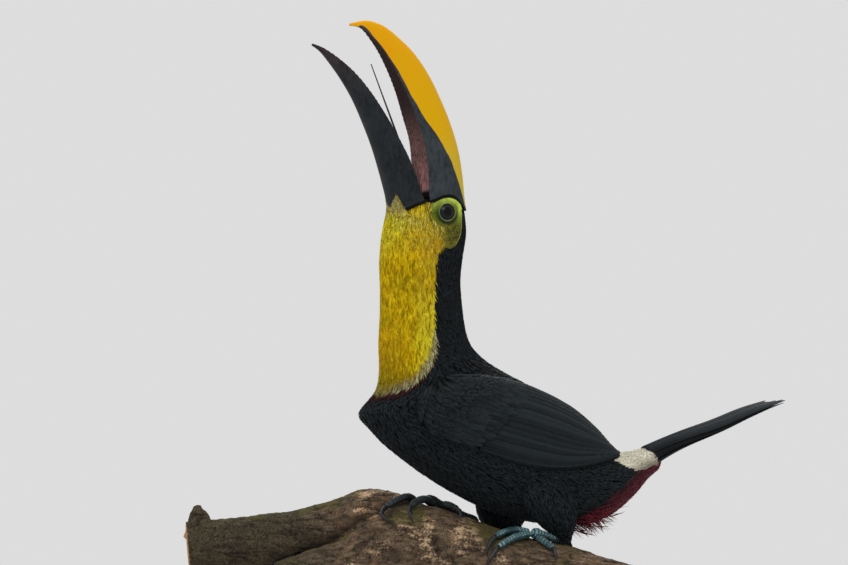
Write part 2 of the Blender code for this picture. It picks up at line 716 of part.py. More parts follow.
def build_legs(body, group, cutters, black, blue, dusk, horn):
    """Both legs: feathered thighs, bare tarsi and gripping feet."""
    thigh_left = build_thigh("thigh_left", THIGH_LEFT, body, group, black)
    thigh_right = build_thigh("thigh_right", THIGH_RIGHT, body, group, black)
    hub = stem_place(2.35, 9, 6.0)
    heel = Vector((24.5, 77.5, 141.0))
    toes = (
        ((stem_place(2.42, 15, 5.0), stem_place(2.60, 35, 4.2), stem_place(2.78, 58, 4.0)),
         (stem_place(2.80, 62, 3.9), stem_place(2.86, 76, 4.6), stem_place(2.89, 90, 1.0))),
        ((stem_place(2.445, 5, 5.2), stem_place(2.68, 19, 4.2), stem_place(2.87, 43, 4.0)),
         (stem_place(2.885, 46, 3.9), stem_place(2.94, 58, 4.6), stem_place(2.95, 70, 1.0))),
        ((stem_place(2.37, -3.0, 5.0), stem_place(2.22, -24, 4.2), stem_place(2.12, -48, 4.0)),
         (stem_place(2.11, -52, 3.9), stem_place(2.08, -66, 4.6), stem_place(2.06, -79, 1.0))),
        ((stem_place(2.31, 17.5, 4.4), stem_place(2.20, 25, 4.2), stem_place(2.09, 32, 4.0)),
         (stem_place(2.08, 35, 3.9), stem_place(2.04, 43, 4.4), stem_place(2.01, 50, 1.0))),
    )
    seat = place("heel_seat_left", tarsus_solid(heel, hub, SEAT_GAP), blue, cutters)
    carve(thigh_left, as_cutter(seat))
    build_foot("left", heel, hub, toes, group, blue, horn)
    hub = stem_place(4.80, -16, 6.0)
    heel = Vector((-25.0, 17.0, 156.5))
    toes = (
        ((stem_place(5.04, -13, 6.0), stem_place(5.22, 2, 8.0), stem_place(5.62, 14, 6.5)),
         (stem_place(5.66, 17, 6.4), stem_place(5.86, 30, 6.0), stem_place(5.74, 42, 1.2))),
        ((stem_place(4.84, -6.5, 5.4), stem_place(5.00, 9, 5.4), stem_place(5.17, 24, 4.6)),
         (stem_place(5.19, 28, 4.5), stem_place(5.25, 39, 4.8), stem_place(5.22, 50, 1.0))),
        ((stem_place(4.58, -8.5, 4.8), stem_place(4.40, -1, 4.4), stem_place(4.22, 7, 4.0)),
         (stem_place(4.18, 9, 3.9), stem_place(4.06, 16, 4.4), stem_place(4.02, 24, 1.0))),
        ((stem_place(4.62, -32, 4.6), stem_place(4.46, -47, 4.3), stem_place(4.32, -62, 4.0)),
         (stem_place(4.29, -66, 3.9), stem_place(4.20, -78, 4.6), stem_place(4.16, -90, 1.0))),
    )
    seat = place("heel_seat_right", tarsus_solid(heel, hub, SEAT_GAP), dusk, cutters)
    carve(thigh_right, as_cutter(seat))
    build_foot("right", heel, hub, toes, group, dusk, horn)


def build_toucan():
    """Build every part of the model."""
    remove_old_objects()
    group = collection("toucan")
    cutters = collection("cutters")
    black = finish("black_feathers", (0.012, 0.012, 0.014), 0.85)
    yellow = finish("yellow_feathers", (0.78, 0.62, 0.03), 0.85)
    cream = finish("cream_feathers", (0.80, 0.76, 0.62), 0.9)
    red = finish("red_feathers", (0.30, 0.02, 0.03), 0.9)
    horn_yellow = finish("yellow_horn", (0.85, 0.55, 0.02), 0.38, 0.2)
    horn_black = finish("black_horn", (0.02, 0.022, 0.028), 0.4, 0.2)
    tongue_skin = finish("tongue_skin", (0.25, 0.2, 0.18), 0.5)
    eye_gloss = finish("eye_gloss", (0.01, 0.01, 0.012), 0.06, 0.6)
    leg_blue = finish("leg_skin", (0.10, 0.28, 0.34), 0.55)
    leg_dusk = finish("leg_skin_dusk", (0.06, 0.13, 0.16), 0.55)
    claw_horn = finish("claw_horn", (0.02, 0.02, 0.022), 0.45)
    bark = finish("bark", (0.22, 0.14, 0.09), 0.9)
    stand_wood = finish("stand_wood", (0.10, 0.06, 0.04), 0.5)
    stand_steel = finish("stand_steel", (0.35, 0.35, 0.36), 0.35)

    head = build_head(group, yellow)
    build_neck(group, yellow)
    build_trunk(group, black)
    build_rump(group, black, cream, red)
    build_wing("wing_left", 1.0, group, black)
    build_wing("wing_right", -1.0, group, black)
    build_tail(group, black)
    build_bill(group, horn_yellow, horn_black)
    build_tongue(group, tongue_skin)
    build_eyes(head, group, cutters, eye_gloss)
    body = as_cutter(place("body_seat", body_solid(0.4), black, cutters))
    build_legs(body, group, cutters, black, leg_blue, leg_dusk, claw_horn)
    build_perch(group, cutters, bark)
    build_stand(group, stand_wood, stand_steel)


build_toucan()
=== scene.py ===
"""A life-size yellow-throated toucan on a forked perch and a display stand, dressed for show.

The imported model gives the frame: metres, +Z up, the bird faces -Y with its left side at +X.
Shapes here are worked out in millimetres, on the same forms that the solids were made from.
One skin carries the bird, feathers are closed vanes laid over it along the lie of the coat,
and bill, tongue, eyes, claws, perch and stand are pieces of their own.
"""

import logging
import math
from collections.abc import Callable, Sequence
from dataclasses import dataclass
from enum import Enum
from itertools import product

import bmesh
import bpy
import numpy as np
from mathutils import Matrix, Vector
from mathutils.kdtree import KDTree


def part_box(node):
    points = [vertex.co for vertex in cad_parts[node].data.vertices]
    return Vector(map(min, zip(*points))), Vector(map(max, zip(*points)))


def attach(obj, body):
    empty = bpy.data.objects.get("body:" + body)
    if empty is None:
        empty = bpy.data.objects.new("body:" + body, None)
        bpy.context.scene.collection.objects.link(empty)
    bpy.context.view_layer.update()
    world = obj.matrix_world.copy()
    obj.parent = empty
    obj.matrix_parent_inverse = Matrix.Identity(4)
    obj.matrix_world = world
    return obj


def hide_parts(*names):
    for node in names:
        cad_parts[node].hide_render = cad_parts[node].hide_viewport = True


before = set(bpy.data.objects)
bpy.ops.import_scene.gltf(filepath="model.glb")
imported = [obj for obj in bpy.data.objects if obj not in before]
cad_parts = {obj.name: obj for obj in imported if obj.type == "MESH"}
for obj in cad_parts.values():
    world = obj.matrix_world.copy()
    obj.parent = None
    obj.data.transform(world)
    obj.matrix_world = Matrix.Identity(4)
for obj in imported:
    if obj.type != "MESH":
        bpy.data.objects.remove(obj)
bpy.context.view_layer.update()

MM = 0.001
BODY = "root"
HEADING = 66.0
SIDES = ("left", "right")
TOES = range(1, 5)
LOG = logging.getLogger("toucan")

Array = np.ndarray
Colour = tuple[float, float, float]
Pair = tuple[float, float]
Shape = tuple[Array, list[Array]]
Marks = dict[str, Array]
Stations = Sequence[Sequence[float]]
Material = bpy.types.Material
Item = bpy.types.Object


# -------- numbers and noise


def ease(value: Array, low: float, high: float) -> Array:
    """Rise smoothly from 0, at or below low, to 1, at or above high."""
    share = np.clip((np.asarray(value, float) - low) / (high - low), 0.0, 1.0)
    return share * share * (3.0 - 2.0 * share)


def unit(vectors: Array) -> Array:
    """Scale vectors to length 1."""
    return vectors / np.maximum(np.linalg.norm(vectors, axis=-1, keepdims=True), 1e-9)


def stacked(*parts: Array | float) -> Array:
    """Put numbers beside each other on a last axis, all in one shape."""
    return np.stack(np.broadcast_arrays(*parts), -1)


def full_turn(count: int) -> Array:
    """Give angles all round, in radians."""
    return np.linspace(0.0, 2.0 * np.pi, count, endpoint=False)


def all_over(last: float, rows: int, degrees: float) -> list[Array]:
    """Give places all over a round form: along it to its last station, and round it in degrees."""
    return np.meshgrid(np.linspace(0.0, last, rows), np.arange(0.0, 360.0, degrees), indexing="ij")


def nearest(points: Array, places: Array) -> tuple[Array, Array]:
    """Find the place nearest to each point.

    Args:
        points: The points.
        places: The places to choose from.

    Returns:
        The number of each point's place, and how far away it is.
    """
    tree = KDTree(len(places))
    for index, place in enumerate(places):
        tree.insert(place, index)
    tree.balance()
    found = [tree.find(point) for point in points]
    return np.array([index for _, index, _ in found]), np.array([away for *_, away in found])


def paint(*levels: int) -> Colour:
    """Turn red, green and blue as seen on a screen, 0 to 255, into the light they stand for."""
    shares = [level / 255 for level in levels]
    return tuple(s / 12.92 if s <= 0.04045 else ((s + 0.055) / 1.055) ** 2.4 for s in shares)


class Track:
    """A smooth curve through stations, read at places counted in stations."""

    def __init__(self, stations: Stations) -> None:
        """Keep the stations."""
        self.rows = np.array(stations, float)
        self.last = len(self.rows) - 1

    def at(self, position: Array) -> Array:
        """Read the curve.

        Args:
            position: Places counted in stations, of any shape.

        Returns:
            The values there, with one more axis at the end.
        """
        position = np.asarray(position, float)
        index = np.clip(np.floor(position).astype(int), 0, self.last - 1)
        share = (position - index)[..., None]
        before, start, end, after = (
            self.rows[np.clip(index + step, 0, self.last)] for step in (-1, 0, 1, 2)
        )
        bend_in = (end - before) / 2
        bend_out = (after - start) / 2
        rest = start - end
        cubic = (2 * rest + bend_in + bend_out) * share
        return ((cubic - 3 * rest - 2 * bend_in - bend_out) * share + bend_in) * share + start


class Grain:
    """Repeatable soft noise in space, from -1 to 1."""

    PRIMES = np.array((73856093, 19349663, 83492791), np.int64)

    def __init__(self, seed: int) -> None:
        """Keep the seed."""
        self.seed = seed

    def _corner(self, cell: Array) -> Array:
        """Draw a number for each cell.

        Args:
            cell: Whole numbers x, y and z on the last axis.

        Returns:
            Numbers from 0 to 1.
        """
        mixed = (cell * self.PRIMES).sum(-1) + self.seed * 7919
        mixed = ((mixed ^ (mixed >> 13)) * 1274126177) & 0x7FFFFFFF
        return ((mixed ^ (mixed >> 16)) & 0xFFFF) / 65535.0

    def at(self, points: Array, size: float) -> Array:
        """Read one layer of noise.

        Args:
            points: Places in millimetres, with x, y and z on the last axis.
            size: The width of one soft spot.

        Returns:
            One number for each place.
        """
        scaled = points / size
        cell = np.floor(scaled).astype(np.int64)
        share = scaled - cell
        share = share * share * (3.0 - 2.0 * share)
        total = np.zeros(points.shape[:-1])
        for corner in product((0, 1), repeat=3):
            step = np.array(corner)
            weight = np.prod(np.where(step == 1, share, 1.0 - share), axis=-1)
            total += weight * self._corner(cell + step)
        return total * 2.0 - 1.0

    def layered(self, points: Array, size: float, layers: int) -> Array:
        """Add layers of noise, each half as wide and half as strong as the one before.

        Args:
            points: Places in millimetres.
            size: The width of the widest spots.
            layers: How many layers.

        Returns:
            One number for each place.
        """
        return sum(self.at(points + 31.7 * layer, size / 2**layer) / 2**layer
                   for layer in range(layers)) / 1.6


# -------- meshes


def grid_faces(rows: int, columns: int, wrap: bool = False) -> Array:
    """List the quads of a grid of points.

    Args:
        rows: Number of rows of points.
        columns: Number of points in a row.
        wrap: Whether each row is a closed ring.

    Returns:
        An array of quads, facing the side from which rows run up and columns run right.
    """
    across = np.arange(columns if wrap else columns - 1)
    along = np.arange(rows - 1)[:, None] * columns
    after = (across + 1) % columns
    corners = (along + across, along + after, along + columns + after, along + columns + across)
    return np.stack(corners, -1).reshape(-1, 4)


def closed_loft(rings: Array) -> Shape:
    """Join rings of points into a closed shape.

    Args:
        rings: Rings of as many points each, turning so that the sides face out.

    Returns:
        The shape, with flat ends.
    """
    count, size = rings.shape[:2]
    ends = [np.arange(size)[::-1][None], np.arange(size)[None] + (count - 1) * size]
    return rings.reshape(-1, 3), [grid_faces(count, size, wrap=True), *ends]


def merged(shapes: Sequence[Shape]) -> Shape:
    """Put several shapes in one list of points and faces.

    Args:
        shapes: The shapes.

    Returns:
        One shape.
    """
    faces = []
    start = 0
    for points, groups in shapes:
        faces += [group + start for group in groups]
        start += len(points)
    return np.concatenate([points for points, _ in shapes]), faces


def mesh_object(name: str, shape: Shape, marks: Marks | None = None,
                unwrap: Array | None = None) -> Item:
    """Make a smooth mesh object in the scene.

    Args:
        name: The object's name.
        shape: Points in millimetres, and faces.
        marks: Named numbers, one for each point, that the finishes read.
        unwrap: The OFBake map's place of each point, if the piece has one.

    Returns:
        The object.
    """
    points, groups = shape
    mesh = bpy.data.meshes.new(name)
    sizes = np.concatenate([np.full(len(group), group.shape[1]) for group in groups])
    corners = np.concatenate([group.ravel() for group in groups]).astype(np.int32)
    mesh.vertices.add(len(points))
    mesh.vertices.foreach_set("co", (points * MM).astype(np.float32).ravel())
    mesh.loops.add(len(corners))
    mesh.loops.foreach_set("vertex_index", corners)
    mesh.polygons.add(len(sizes))
    starts = np.concatenate(([0], np.cumsum(sizes)[:-1])).astype(np.int32)
    mesh.polygons.foreach_set("loop_start", starts)
    for mark, values in (marks or {}).items():
        layer = mesh.attributes.new(mark, "FLOAT", "POINT")
        layer.data.foreach_set("value", np.ascontiguousarray(values.ravel(), np.float32))
    if unwrap is not None:
        layer = mesh.uv_layers.new(name="OFBake")
        layer.data.foreach_set("uv", unwrap[corners].astype(np.float32).ravel())
    mesh.update(calc_edges=True)
    mesh.shade_smooth()
    item = bpy.data.objects.new(name, mesh)
    bpy.context.scene.collection.objects.link(item)
    return item


def numbers(data: bpy.types.bpy_prop_collection, name: str, width: int) -> Array:
    """Read a property of all of a mesh's points.

    Args:
        data: The points.
        name: The property.
        width: How many numbers it has for a point.

    Returns:
        A row for each point.
    """
    values = np.empty(len(data) * width, np.float32)
    data.foreach_get(name, values)
    return values.reshape(-1, width).astype(float)


def fused(shapes: Sequence[Shape], voxel: float, smoothing: int) -> tuple[Array, Array, Array]:
    """Fuse overlapping closed shapes into one even skin.

    Args:
        shapes: The shapes to fuse.
        voxel: The width of a face of the skin.
        smoothing: How often the skin is smoothed.

    Returns:
        The skin's points, the quads between them and the direction out of each point.
    """
    item = mesh_object("fusing", merged(shapes))
    remesh = item.modifiers.new("even", "REMESH")
    remesh.mode = "VOXEL"
    remesh.voxel_size = voxel * MM
    smooth = item.modifiers.new("smooth", "SMOOTH")
    smooth.factor = 0.5
    smooth.iterations = smoothing
    graph = bpy.context.evaluated_depsgraph_get()
    mesh = bpy.data.meshes.new_from_object(item.evaluated_get(graph))
    points = numbers(mesh.vertices, "co", 3) / MM
    normals = numbers(mesh.vertex_normals, "vector", 3)
    corners = np.empty(len(mesh.loops), np.int32)
    mesh.loops.foreach_get("vertex_index", corners)
    bpy.data.objects.remove(item, do_unlink=True)
    bpy.data.meshes.remove(mesh)
    return points, corners.reshape(-1, 4), normals


def node_points(*names: str) -> Array:
    """Give the corners of some solids of the frame, in millimetres."""
    return np.concatenate([numbers(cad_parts[name].data.vertices, "co", 3) / MM for name in names])


def node_shape(name: str) -> Shape:
    """Copy a solid of the frame in millimetres, with its corners welded.

    Args:
        name: The solid's name.

    Returns:
        The shape, of triangles.
    """
    solid = bmesh.new()
    solid.from_mesh(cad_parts[name].data)
    bmesh.ops.remove_doubles(solid, verts=solid.verts[:], dist=1e-5)
    bmesh.ops.triangulate(solid, faces=solid.faces[:])
    solid.verts.index_update()
    points = np.array([vertex.co[:] for vertex in solid.verts]) / MM
    faces = np.array([[vertex.index for vertex in face.verts] for face in solid.faces])
    solid.free()
    return points, [faces]


def settle(item: Item, slot: str, nodes: Sequence[str], *finishes: Material) -> None:
    """Give a piece its finishes and its place in the frame, and report it.

    Args:
        item: The piece.
        slot: The material slot that it belongs to; not used.
        nodes: The solids that it stands for.
        finishes: Its materials, in the order of its faces' numbers.
    """
    for finish in finishes:
        item.data.materials.append(finish)
    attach(item, BODY)
    if nodes:
        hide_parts(*nodes)
    faces = sum(len(polygon.vertices) - 2 for polygon in item.data.polygons)
    LOG.info("%s: %d triangles", item.name, faces)


# -------- finishes


def operator(operation: str, swapped: bool = False) -> Callable:
    """Make an operator of Signal.

    Args:
        operation: What the Math node does.
        swapped: Whether the other value comes first.

    Returns:
        The method.
    """
    def method(signal: "Signal", other: "Term" = 0.0) -> "Signal":
        """Add a Math node."""
        terms = (other, signal) if swapped else (signal, other)
        return signal.recipe.node("ShaderNodeMath", {"operation": operation},
                                  dict(enumerate(terms)))
    return method


class Signal:
    """A node's socket that takes part in Python expressions."""

    __add__ = __radd__ = operator("ADD")
    __mul__ = __rmul__ = operator("MULTIPLY")
    __sub__ = operator("SUBTRACT")
    __rsub__ = operator("SUBTRACT", swapped=True)
    __pow__ = operator("POWER")
    __abs__ = operator("ABSOLUTE")
    wave = operator("SINE")

    def __init__(self, recipe: "Recipe", socket: bpy.types.NodeSocket) -> None:
        """Keep the socket and the recipe that it belongs to."""
        self.recipe = recipe
        self.socket = socket

    def rise(self, low: float, high: float) -> "Signal":
        """Rise smoothly from 0 to 1 between two values."""
        return self.recipe.node("ShaderNodeMapRange", {"interpolation_type": "SMOOTHSTEP"},
                                {"Value": self, "From Min": low, "From Max": high})


Term = Signal | float
Tint = Signal | Colour


class Recipe:
    """A material under construction: one Principled surface and the nodes that feed it."""

    def __init__(self, name: str) -> None:
        """Start the material.

        Args:
            name: The material's name.
        """
        self.material = bpy.data.materials.new(name)
        self.material.use_nodes = True
        self.tree = self.material.node_tree
        self.shader = self.tree.nodes["Principled BSDF"]

    def plug(self, socket: bpy.types.NodeSocket, value: Term | Colour) -> None:
        """Set a socket to a value or link it to a signal."""
        if isinstance(value, Signal):
            self.tree.links.new(value.socket, socket)
        elif socket.type == "RGBA":
            socket.default_value = (*value, 1.0)
        else:
            socket.default_value = value

    def node(self, kind: str, settings: dict, values: dict, output: int | str = 0) -> Signal:
        """Add a node.

        Args:
            kind: The node's type.
            settings: Its settings, set first.
            values: What goes to its sockets, by number or name.
            output: The output that is wanted.

        Returns:
            That output.
        """
        added = self.tree.nodes.new(kind)
        for setting, value in settings.items():
            setattr(added, setting, value)
        for socket, value in values.items():
            self.plug(added.inputs[socket], value)
        return Signal(self, added.outputs[output])

    def mark(self, name: str) -> Signal:
        """Read a named number of the mesh."""
        return self.node("ShaderNodeAttribute", {"attribute_name": name}, {}, "Fac")

    def layers(self, colour: Tint, *layers: tuple[Term | str, Tint]) -> Tint:
        """Lay colours over a colour, one after another.

        Args:
            colour: The lowest colour.
            layers: For each next one, its strength or the mark that tells it, and the colour.

        Returns:
            The colour of them all.
        """
        for share, top in layers:
            share = self.mark(share) if isinstance(share, str) else share
            colour = self.node("ShaderNodeMix", {"data_type": "RGBA"},
                               {0: share, 6: colour, 7: top}, 2)
        return colour

    def noise(self, size: float, detail: float = 3.0, stretch: Colour = (1.0, 1.0, 1.0),
              turn: float = 0.0) -> Signal:
        """Add noise of a given size.

        Args:
            size: The width of its spots in millimetres.
            detail: How many finer layers it has.
            stretch: How much narrower the spots are along each axis.
            turn: The heading of the first axis, in degrees.

        Returns:
            The noise, from 0 to 1.
        """
        spot = self.node("ShaderNodeTexCoord", {}, {}, "Object")
        spot = self.node("ShaderNodeMapping", {}, {
            "Vector": spot, "Rotation": (0.0, 0.0, -math.radians(turn))})
        spot = self.node("ShaderNodeVectorMath", {"operation": "MULTIPLY"}, {0: spot, 1: stretch})
        return self.node("ShaderNodeTexNoise", {}, {
            "Vector": spot, "Scale": 1.0 / (size * MM), "Detail": detail}, "Fac")

    def finish(self, base: Tint, roughness: Term, relief: Signal | None = None,
               depth: float = 0.1, **constants: float) -> Material:
        """Connect the surface.

        Args:
            base: The base colour.
            roughness: The roughness.
            relief: A height that turns into bump, if any.
            depth: The height of the relief in millimetres.
            constants: Other sockets by name, with _ for a space, that are the same everywhere.

        Returns:
            The finished material.
        """
        self.plug(self.shader.inputs["Base Color"], base)
        self.plug(self.shader.inputs["Roughness"], roughness)
        for socket, value in constants.items():
            self.shader.inputs[socket.replace("_", " ")].default_value = value
        if relief is not None:
            bump = self.node("ShaderNodeBump", {}, {
                "Height": relief, "Distance": depth * MM, "Strength": 0.8}, "Normal")
            self.plug(self.shader.inputs["Normal"], bump)
        return self.material


@dataclass(frozen=True)
class PlainPlumage:
    """Feathers of one colour that is darker at the root and lighter at the tip."""

    name: str
    root: Colour
    middle: Colour
    tip: Colour
    shade: Colour = paint(12, 13, 15)
    sheen: float = 0.0
    gloss: float = 0.15

    def make(self) -> Material:
        """Make the finish.

        Returns:
            The material.
        """
        recipe = Recipe(self.name)
        along, tone, quill = map(recipe.mark, ("along", "tone", "quill"))
        aside = abs(recipe.mark("across"))
        # Quills are lighter along the shaft and darker towards the edges, where the next quill laps
        # over them: painted shade.
        rise = along + quill * (0.85 - 0.8 * aside - along)
        light = (rise * 0.7 + tone * 0.5 + recipe.noise(3.0) * 0.5).rise(0.45, 1.35)
        colour = recipe.layers(self.root, ((along + quill).rise(0.05, 0.5), self.middle),
                               (light, self.tip),
                               (recipe.mark("shade") * (0.9 - 0.4 * tone), self.shade))
        barbs = (aside * (9.0 + 5.0 * quill) + along * (34.0 + 380.0 * quill)).wave()
        return recipe.finish(colour, 0.72 - 0.12 * tone, barbs, 0.05,
                             Specular_IOR_Level=self.gloss, Sheen_Weight=self.sheen)


@dataclass(frozen=True)
class BibPlumage:
    """The yellow throat and breast: fine hair-like feathers with olive, orange and white in them."""

    name: str = "bib_plumage"
    shadow: Colour = paint(148, 120, 0)
    yellow: Colour = paint(228, 192, 0)
    bright: Colour = paint(250, 232, 48)
    # Lemon yellow, laid partly as painted light on the sides of the bib.
    lemon_and_lit: Colour = paint(242, 230, 40)
    orange: Colour = paint(206, 142, 0)
    olive: Colour = paint(110, 104, 8)
    pale: Colour = paint(226, 220, 124)
    dusk: Colour = paint(70, 62, 24)
    white: Colour = paint(206, 200, 164)

    def make(self) -> Material:
        """Make the finish.

        Returns:
            The material.
        """
        recipe = Recipe(self.name)
        along, tone, warm, fringe = map(recipe.mark, ("along", "tone", "warm", "fringe"))
        streak = recipe.noise(2.4, 4.0, (1.0, 1.0, 0.35)).rise(0.3, 0.7)
        glint = (tone * 0.8 + streak * 0.7 - 0.7).rise(0.15, 0.8) * (1.0 - 0.6 * warm)
        colour = recipe.layers(
            self.shadow,
            # Lemon yellow over the yellow is partly painted light on the sides of the bib.
            ((along * 0.5 + streak * 0.6 + tone * 0.35 - 0.3).rise(0.0, 0.85),
             recipe.layers(self.yellow, ("lemon_and_lit", self.lemon_and_lit))),
            (warm * (0.35 + 0.5 * streak), self.orange),
            # Olive: partly the feathers' own, and painted shade low on the breast.
            (recipe.mark("olive") * (1.2 - 0.7 * tone), self.olive),
            (glint * 0.7, self.bright),
            (recipe.mark("streaky") * tone.rise(0.5, 0.9) * 0.8, self.pale),
            (fringe.rise(0.05, 0.65) * 0.85, self.dusk),
            (fringe * (0.15 + tone.rise(0.4, 0.75)) * 0.85, self.white))
        return recipe.finish(colour, 0.75 - 0.1 * tone, Specular_IOR_Level=0.1)


@dataclass(frozen=True)
class FeatheredSkin:
    """The skin under the coat, in the same markings as the feathers over it."""

    name: str = "feathered_skin"
    # Dark and light down of each marking.
    down: tuple[tuple[str, Colour, Colour], ...] = (
        ("bib", paint(110, 88, 10), paint(196, 160, 14)),
        ("fringe", paint(150, 140, 100), paint(210, 204, 170)),
        ("band", paint(14, 8, 9), paint(40, 14, 18)),
        ("cream", paint(140, 132, 108), paint(214, 206, 180)),
        ("crimson", paint(58, 14, 20), paint(112, 26, 34)),
    )

    def make(self) -> Material:
        """Make the finish.

        Returns:
            The material.
        """
        recipe = Recipe(self.name)
        fluff = recipe.noise(1.6, 4.0)
        black = recipe.layers(paint(5, 6, 7), (fluff, paint(16, 17, 19)))
        colour = recipe.layers(black, *((zone, recipe.layers(dark, (fluff, light)))
                                        for zone, dark, light in self.down))
        return recipe.finish(colour, 0.85, fluff, 0.3, Specular_IOR_Level=0.1)


@dataclass(frozen=True)
class OrbitalSkin:
    """Bare green skin round the eye, with a pale blue rim to the lids."""

    name: str = "orbital_skin"
    lime: Colour = paint(196, 214, 88)
    leaf: Colour = paint(74, 90, 4)
    olive: Colour = paint(116, 112, 20)
    rim: Colour = paint(176, 172, 92)
    blue: Colour = paint(118, 138, 132)
    dark: Colour = paint(28, 32, 10)

    def make(self) -> Material:
        """Make the finish.

        Returns:
            The material.
        """
        recipe = Recipe(self.name)
        grain = recipe.noise(1.1, 4.0)
        broad = recipe.noise(4.0, 3.0)
        mottle = (grain * 1.6 + broad * 0.8 - 0.8).rise(0.1, 0.8)
        colour = recipe.layers(
            self.leaf, ("height", self.lime), ((broad * 1.4 - 0.5).rise(0.1, 0.7) * 0.6, self.leaf),
            ("lobe", recipe.layers(self.dark, (mottle, self.olive))), ("shade", self.dark),
            ("rim", self.rim), ("lid", self.blue))
        return recipe.finish(colour, 0.6 + 0.2 * grain, grain, 0.4, Specular_IOR_Level=0.15)


@dataclass(frozen=True)
class LegSkin:
    """Scaly blue-green leg skin: dark creases, pale scute middles on top that are partly painted
    highlight.
    """

    name: str = "leg_skin"
    crease: Colour = paint(10, 20, 24)
    skin: Colour = paint(36, 62, 68)
    pale: Colour = paint(116, 154, 158)

    def make(self) -> Material:
        """Make the finish.

        Returns:
            The material.
        """
        recipe = Recipe(self.name)
        grain = recipe.noise(1.2, 3.0)
        scute = recipe.mark("scute")
        colour = recipe.layers(
            self.crease, ((scute * 0.8 + grain * 0.6).rise(0.2, 0.8), self.skin),
            ((scute * grain * 1.7).rise(0.5, 1.0) * recipe.mark("lit"), self.pale))
        return recipe.finish(colour, 0.5 + 0.2 * grain, grain, 0.12, Specular_IOR_Level=0.4)


@dataclass(frozen=True)
class BillHorn:
    """Horn of the bill: yellow ridge, dark side panel, black base line, lined mouth."""

    name: str
    yellow: Colour = paint(204, 156, 0)
    orange: Colour = paint(216, 144, 0)
    green: Colour = paint(178, 174, 66)
    panel: Colour = paint(56, 62, 67)
    plum: Colour = paint(78, 60, 60)
    black: Colour = paint(5, 6, 8)
    lining: Colour = paint(142, 110, 106)
    flesh: Colour = paint(206, 150, 152)
    deep: Colour = paint(34, 27, 29)

    def make(self) -> Material:
        """Make the finish.

        Returns:
            The material.
        """
        recipe = Recipe(self.name)
        inner = recipe.mark("inner")
        fibre = recipe.noise(1.4, 3.0, (1.0, 0.5, 0.25))
        cloud = recipe.noise(16.0, 3.0)
        streak = recipe.noise(1.3, 3.0, (2.2, 2.2, 0.14))
        panel = recipe.layers(self.panel, ("warm", self.plum))
        # The mouth: black with lining and flesh streaks; deep darkens the lining out towards the tip,
        # and lays painted shade next to the gape.
        mouth = recipe.layers(
            self.black, ((streak * 1.5 - 0.25).rise(0.0, 0.8), self.lining),
            ((recipe.mark("flesh") * (streak * 2.2 - 0.5)).rise(0.05, 0.8), self.flesh),
            ("deep", self.deep))
        colour = recipe.layers(
            self.yellow, ("warm", self.orange), ("green", self.green),
            ((cloud * 1.2 - 0.45).rise(0.1, 0.7) * 0.3, self.orange),
            (recipe.mark("panel").rise(-0.012, 0.012),
             recipe.layers(self.black, ((fibre * 0.6 + cloud * 0.6).rise(0.15, 0.85), panel))),
            (inner, mouth), (recipe.mark("base").rise(-0.3, 0.3), self.black))
        return recipe.finish(colour, 0.5 + 0.14 * fibre + 0.1 * inner,
                             fibre + 0.8 * recipe.mark("growth"), 0.05, Specular_IOR_Level=0.09)


@dataclass(frozen=True)
class EyeGloss:
    """The eyeball: black pupil, dark brown iris with a fine radial grain, wet coat."""

    name: str = "eye"

    def make(self) -> Material:
        """Make the finish.

        Returns:
            The material.
        """
        recipe = Recipe(self.name)
        reach = recipe.mark("reach")
        iris = recipe.layers(paint(16, 16, 18), (recipe.noise(0.8, 2.0), paint(36, 34, 35)))
        colour = recipe.layers(paint(5, 5, 7), (reach.rise(4.0, 4.4), iris),
                               (reach.rise(5.9, 6.6), paint(10, 10, 11)))
        return recipe.finish(colour, 0.24, Specular_IOR_Level=0.12, Coat_Weight=0.03)


@dataclass(frozen=True)
class HornOrFlesh:
    """A plain two-tone finish for claws and tongue."""

    name: str
    dark: Colour
    light: Colour
    roughness: float

    def make(self) -> Material:
        """Make the finish.

        Returns:
            The material.
        """
        recipe = Recipe(self.name)
        fibre = recipe.noise(0.9, 3.0)
        colour = recipe.layers(self.dark, (fibre.rise(0.3, 0.8), self.light))
        return recipe.finish(colour, self.roughness + 0.15 * fibre, fibre, 0.06,
                             Specular_IOR_Level=0.4)


